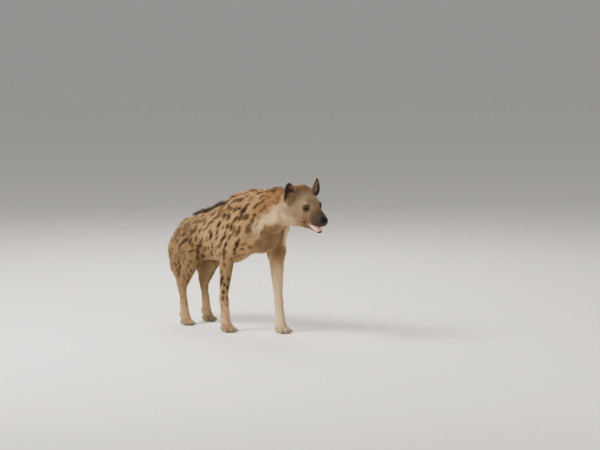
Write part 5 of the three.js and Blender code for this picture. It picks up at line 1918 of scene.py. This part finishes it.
def fringe_form(points, size):
    """The same for the long pale hairs from the inner edge of each ear over its hollow."""
    share, lie = np.zeros(len(points)), np.zeros((len(points), 3))
    for side in (1, -1):
        _, across, up, way = ear_frame(side)
        u, _, t, away, edge = ear_places(points, side)
        mine = smooth(-0.2, 0.8, away) * (1 - smooth(5, 8, away))
        mine = mine * smooth(0.5, 0.75, edge) * (1 - smooth(1.0, 1.1, edge))
        mine = mine * smooth(8, 20, -u) * smooth(0.12, 0.2, t) * (1 - smooth(0.62, 0.8, t))
        share = np.maximum(share, mine)
        lie[mine > 0] = 0.7 * across + 0.9 * up + 0.4 * way
    length = np.full(len(points), size.fringe / MM)
    return share, length, lie, np.full(len(points), 0.3), np.zeros(len(points)), 1.0


# name, slot, piece of coat whose unwrap it follows, spacing and width of its tufts, and form
LONG_HAIR = (
    ("mane", "coat", SHOULDERS[0], 3.3, 1.6, mane_form),
    ("crest", "coat", SHOULDERS[0], 2.9, 1.6, crest_form),
    ("brush", "brush", TAIL_COAT, 2.5, 1.6, brush_form),
    ("ear_fringe", "ear", EAR_COAT, 1.35, 0.6, fringe_form),
)
FRINGE_MARKS = (0.0, 0.3, 0.0, 0.55)
LONG_ROOT_DEPTH = 1.5


class MANE_OT_grow(Operator):
    """Grows the mane, the crest along the back, the brush of the tail and the fringe of the ears"""

    bl_idname = "hyena.grow_long_hair"
    bl_label = "Mane, crest and brush"

    def execute(self, context):
        size = sizes()
        places, faces, spots = skin_parts()
        tree = tuft_tree("long_tufts", 4)
        look = coat_finish(Look())
        for number, (name, slot, zone, spacing, width, form) in enumerate(LONG_HAIR):

            def thinned(p, form=form, spacing=spacing):
                return spacing / np.sqrt(np.maximum(form(p, size)[0], 1e-6))

            points, normals, draw = scattered(places, faces, thinned, size.density, size.seed + 5 + number)
            _, length, lie, lift, dark, loose = form(points, size)
            count = len(points)
            clump = streaks(points, lie, 9, 40, 31 + number)
            side = np.cross(normals, lie)
            sway = 0.18 * clump + 0.12 * draw.normal(size=count)
            lie = along_skin(lie + side * sway[:, None], normals)
            marks = marks_of(points, normals, spots)
            if form is fringe_form:
                marks = np.tile(FRINGE_MARKS, (count, 1))
            marks[:, 3] = np.maximum(marks[:, 3], dark)
            length = length * draw.uniform(0.75, 1.06, count)
            lift = np.clip(lift + loose * (0.12 * clump + 0.07 * draw.normal(size=count)), 0, 1.2)
            width = width * draw.uniform(0.7, 1.2, count)
            roots = {
                "places": to_metres(points - LONG_ROOT_DEPTH * normals),
                "dir": lifted(lie, normals, lift),
                "out": normals,
                "deep": np.ones(count),
                "size": np.stack((length, width, length), 1) * MM,
                "root_uv": spread(unwrapped(points, np.full(count, zone))),
                "marks": marks,
                "shade": np.clip(0.5 + 0.3 * clump + 0.25 * draw.normal(size=count), 0, 1),
            }
            dress(grow(name, tree, roots, look, Bend=0.2, Thickness=0.016), slot)
        return {"FINISHED"}


class EYES_OT_make(Operator):
    """Makes the two eyeballs"""

    bl_idname = "hyena.make_eyes"
    bl_label = "Eyes"

    def execute(self, context):
        for side, eye in zip(("left", "right"), EYES):
            mesh = eyeball(f"eyeball_{side}", eye)
            mesh.materials.append(eye_finish(Look()))
            dress(add_object(f"eyeball_{side}", mesh), "eye", f"eye_{side}")
        return {"FINISHED"}


class NOSE_OT_make(Operator):
    """Makes the leather of the nose"""

    bl_idname = "hyena.make_nose"
    bl_label = "Nose"

    def execute(self, context):
        mesh = form_mesh("nose_leather", nose_distance, (162, -32, -58), (216, 32, 8), 1.2)
        mesh.materials.append(nose_finish(Look()))
        dress(add_object("nose_leather", mesh), "nose_skin", "nose")
        return {"FINISHED"}


class MOUTH_OT_make(Operator):
    """Makes the tongue and the teeth"""

    bl_idname = "hyena.make_mouth"
    bl_label = "Tongue and teeth"

    def execute(self, context):
        mesh = form_mesh("tongue_flesh", tongue_distance, (62, -34, -104), (182, 34, -54), 1.8)
        mesh.materials.append(tongue_finish(Look()))
        dress(add_object("tongue_flesh", mesh), "tongue", "tongue")
        for name, row, toward in (("teeth_upper", UPPER_TEETH, DOWN), ("teeth_lower", LOWER_TEETH, UP)):
            mesh = horns(name, tooth_specs(row, toward))
            mesh.materials.append(tooth_finish(Look()))
            dress(add_object(name, mesh), "face")
        return {"FINISHED"}


class CLAWS_OT_make(Operator):
    """Makes the sixteen claws"""

    bl_idname = "hyena.make_claws"
    bl_label = "Claws"

    def execute(self, context):
        mesh = horns("claws", claw_specs())
        mesh.materials.append(claw_finish(Look()))
        dress(add_object("claws", mesh), "leg_coat")
        return {"FINISHED"}


# where the camera looks, from which angle and how far, and its lens
AIM = Vector((0.0871, 0.3145, 0.573))
AZIMUTH, ELEVATION, DISTANCE = 48.0, 6.0, 14.0
LENS, SENSOR, CLIP_END = 151.2, 36.0, 400
# name, how far to the left, nearer and above the aim, width and power of each light
LIGHTS = (
    ("key_light", 3.2, 1.5, 3.4, 2.0, 520),
    ("fill_light", -3.0, 3.0, 1.8, 3.0, 70),
    ("rim_light", 0.5, -3.0, 3.2, 2.5, 200),
)
LIGHT_COLOUR = (1.0, 0.93, 0.84)
SKY_COLOUR, SKY_STRENGTH = (1.0, 0.975, 0.94, 1), 0.42
FLOOR_HALF = 150.0


class STAGE_OT_make(Operator):
    """Makes the floor, the lights and the camera"""

    bl_idname = "hyena.make_stage"
    bl_label = "Stage"

    def execute(self, context):
        mesh = bpy.data.meshes.new("floor")
        edges = ((-1, -1), (1, -1), (1, 1), (-1, 1))
        mesh.from_pydata([(FLOOR_HALF * x, FLOOR_HALF * y, 0) for x, y in edges], [], [(0, 1, 2, 3)])
        mesh.materials.append(floor_finish(Look()))
        add_object("floor", mesh)
        around = math.radians(AZIMUTH)
        nearer = Vector((math.sin(around), -math.cos(around), 0))
        left = Vector((-math.cos(around), -math.sin(around), 0))
        for name, aside, ahead, above, width, power in LIGHTS:
            self.area(name, AIM + left * aside + nearer * ahead + Vector((0, 0, above)), width, power)
        world = bpy.data.worlds.new("studio")
        world.use_nodes = True
        kit = Kit(world.node_tree)
        kit.tree.nodes.clear()
        sky = kit.node("ShaderNodeBackground", None, Color=SKY_COLOUR, Strength=SKY_STRENGTH)
        kit.node("ShaderNodeOutputWorld", None, Surface=sky)
        context.scene.world = world
        rise = math.radians(ELEVATION)
        outward_way = nearer * math.cos(rise) + Vector((0, 0, math.sin(rise)))
        camera = bpy.data.cameras.new("camera")
        camera.lens, camera.sensor_width, camera.clip_end = LENS, SENSOR, CLIP_END
        stand = add_object("camera", camera)
        stand.location = AIM + outward_way * DISTANCE
        stand.rotation_euler = outward_way.to_track_quat("Z", "Y").to_euler()
        context.scene.camera = stand
        return {"FINISHED"}

    @staticmethod
    def area(name, place, width, power):
        light = bpy.data.lights.new(name, "AREA")
        light.shape = "DISK"
        light.size, light.energy = width, power
        light.color = LIGHT_COLOUR
        lamp = add_object(name, light)
        lamp.location = place
        lamp.rotation_euler = (Vector(place) - AIM).to_track_quat("Z", "Y").to_euler()


STEPS = (
    SKIN_OT_make,
    COAT_OT_grow,
    MANE_OT_grow,
    EYES_OT_make,
    NOSE_OT_make,
    MOUTH_OT_make,
    CLAWS_OT_make,
    STAGE_OT_make,
)


class HYENA_PT_panel(Panel):
    """Lists the steps, the sizes and the colours"""

    bl_idname = "HYENA_PT_panel"
    bl_label = "Spotted hyena"
    bl_space_type = "VIEW_3D"
    bl_region_type = "UI"
    bl_category = "Hyena"

    def draw(self, context):
        for step in STEPS:
            self.layout.operator(step.bl_idname)
        for group in (context.scene.hyena_sizes, context.scene.hyena_look):
            box = self.layout.box()
            for key in group.__annotations__:
                box.prop(group, key)


CLASSES = (HyenaSizes, HyenaLook, *STEPS, HYENA_PT_panel)


def register():
    for kind in CLASSES:
        bpy.utils.register_class(kind)
    bpy.types.Scene.hyena_sizes = PointerProperty(type=HyenaSizes)
    bpy.types.Scene.hyena_look = PointerProperty(type=HyenaLook)


def unregister():
    del bpy.types.Scene.hyena_look
    del bpy.types.Scene.hyena_sizes
    for kind in reversed(CLASSES):
        bpy.utils.unregister_class(kind)


def main():
    """Makes every piece in order."""
    register()
    for step in STEPS:
        family, name = step.bl_idname.split(".")
        getattr(getattr(bpy.ops, family), name)()


if __name__ == "__main__":
    main()
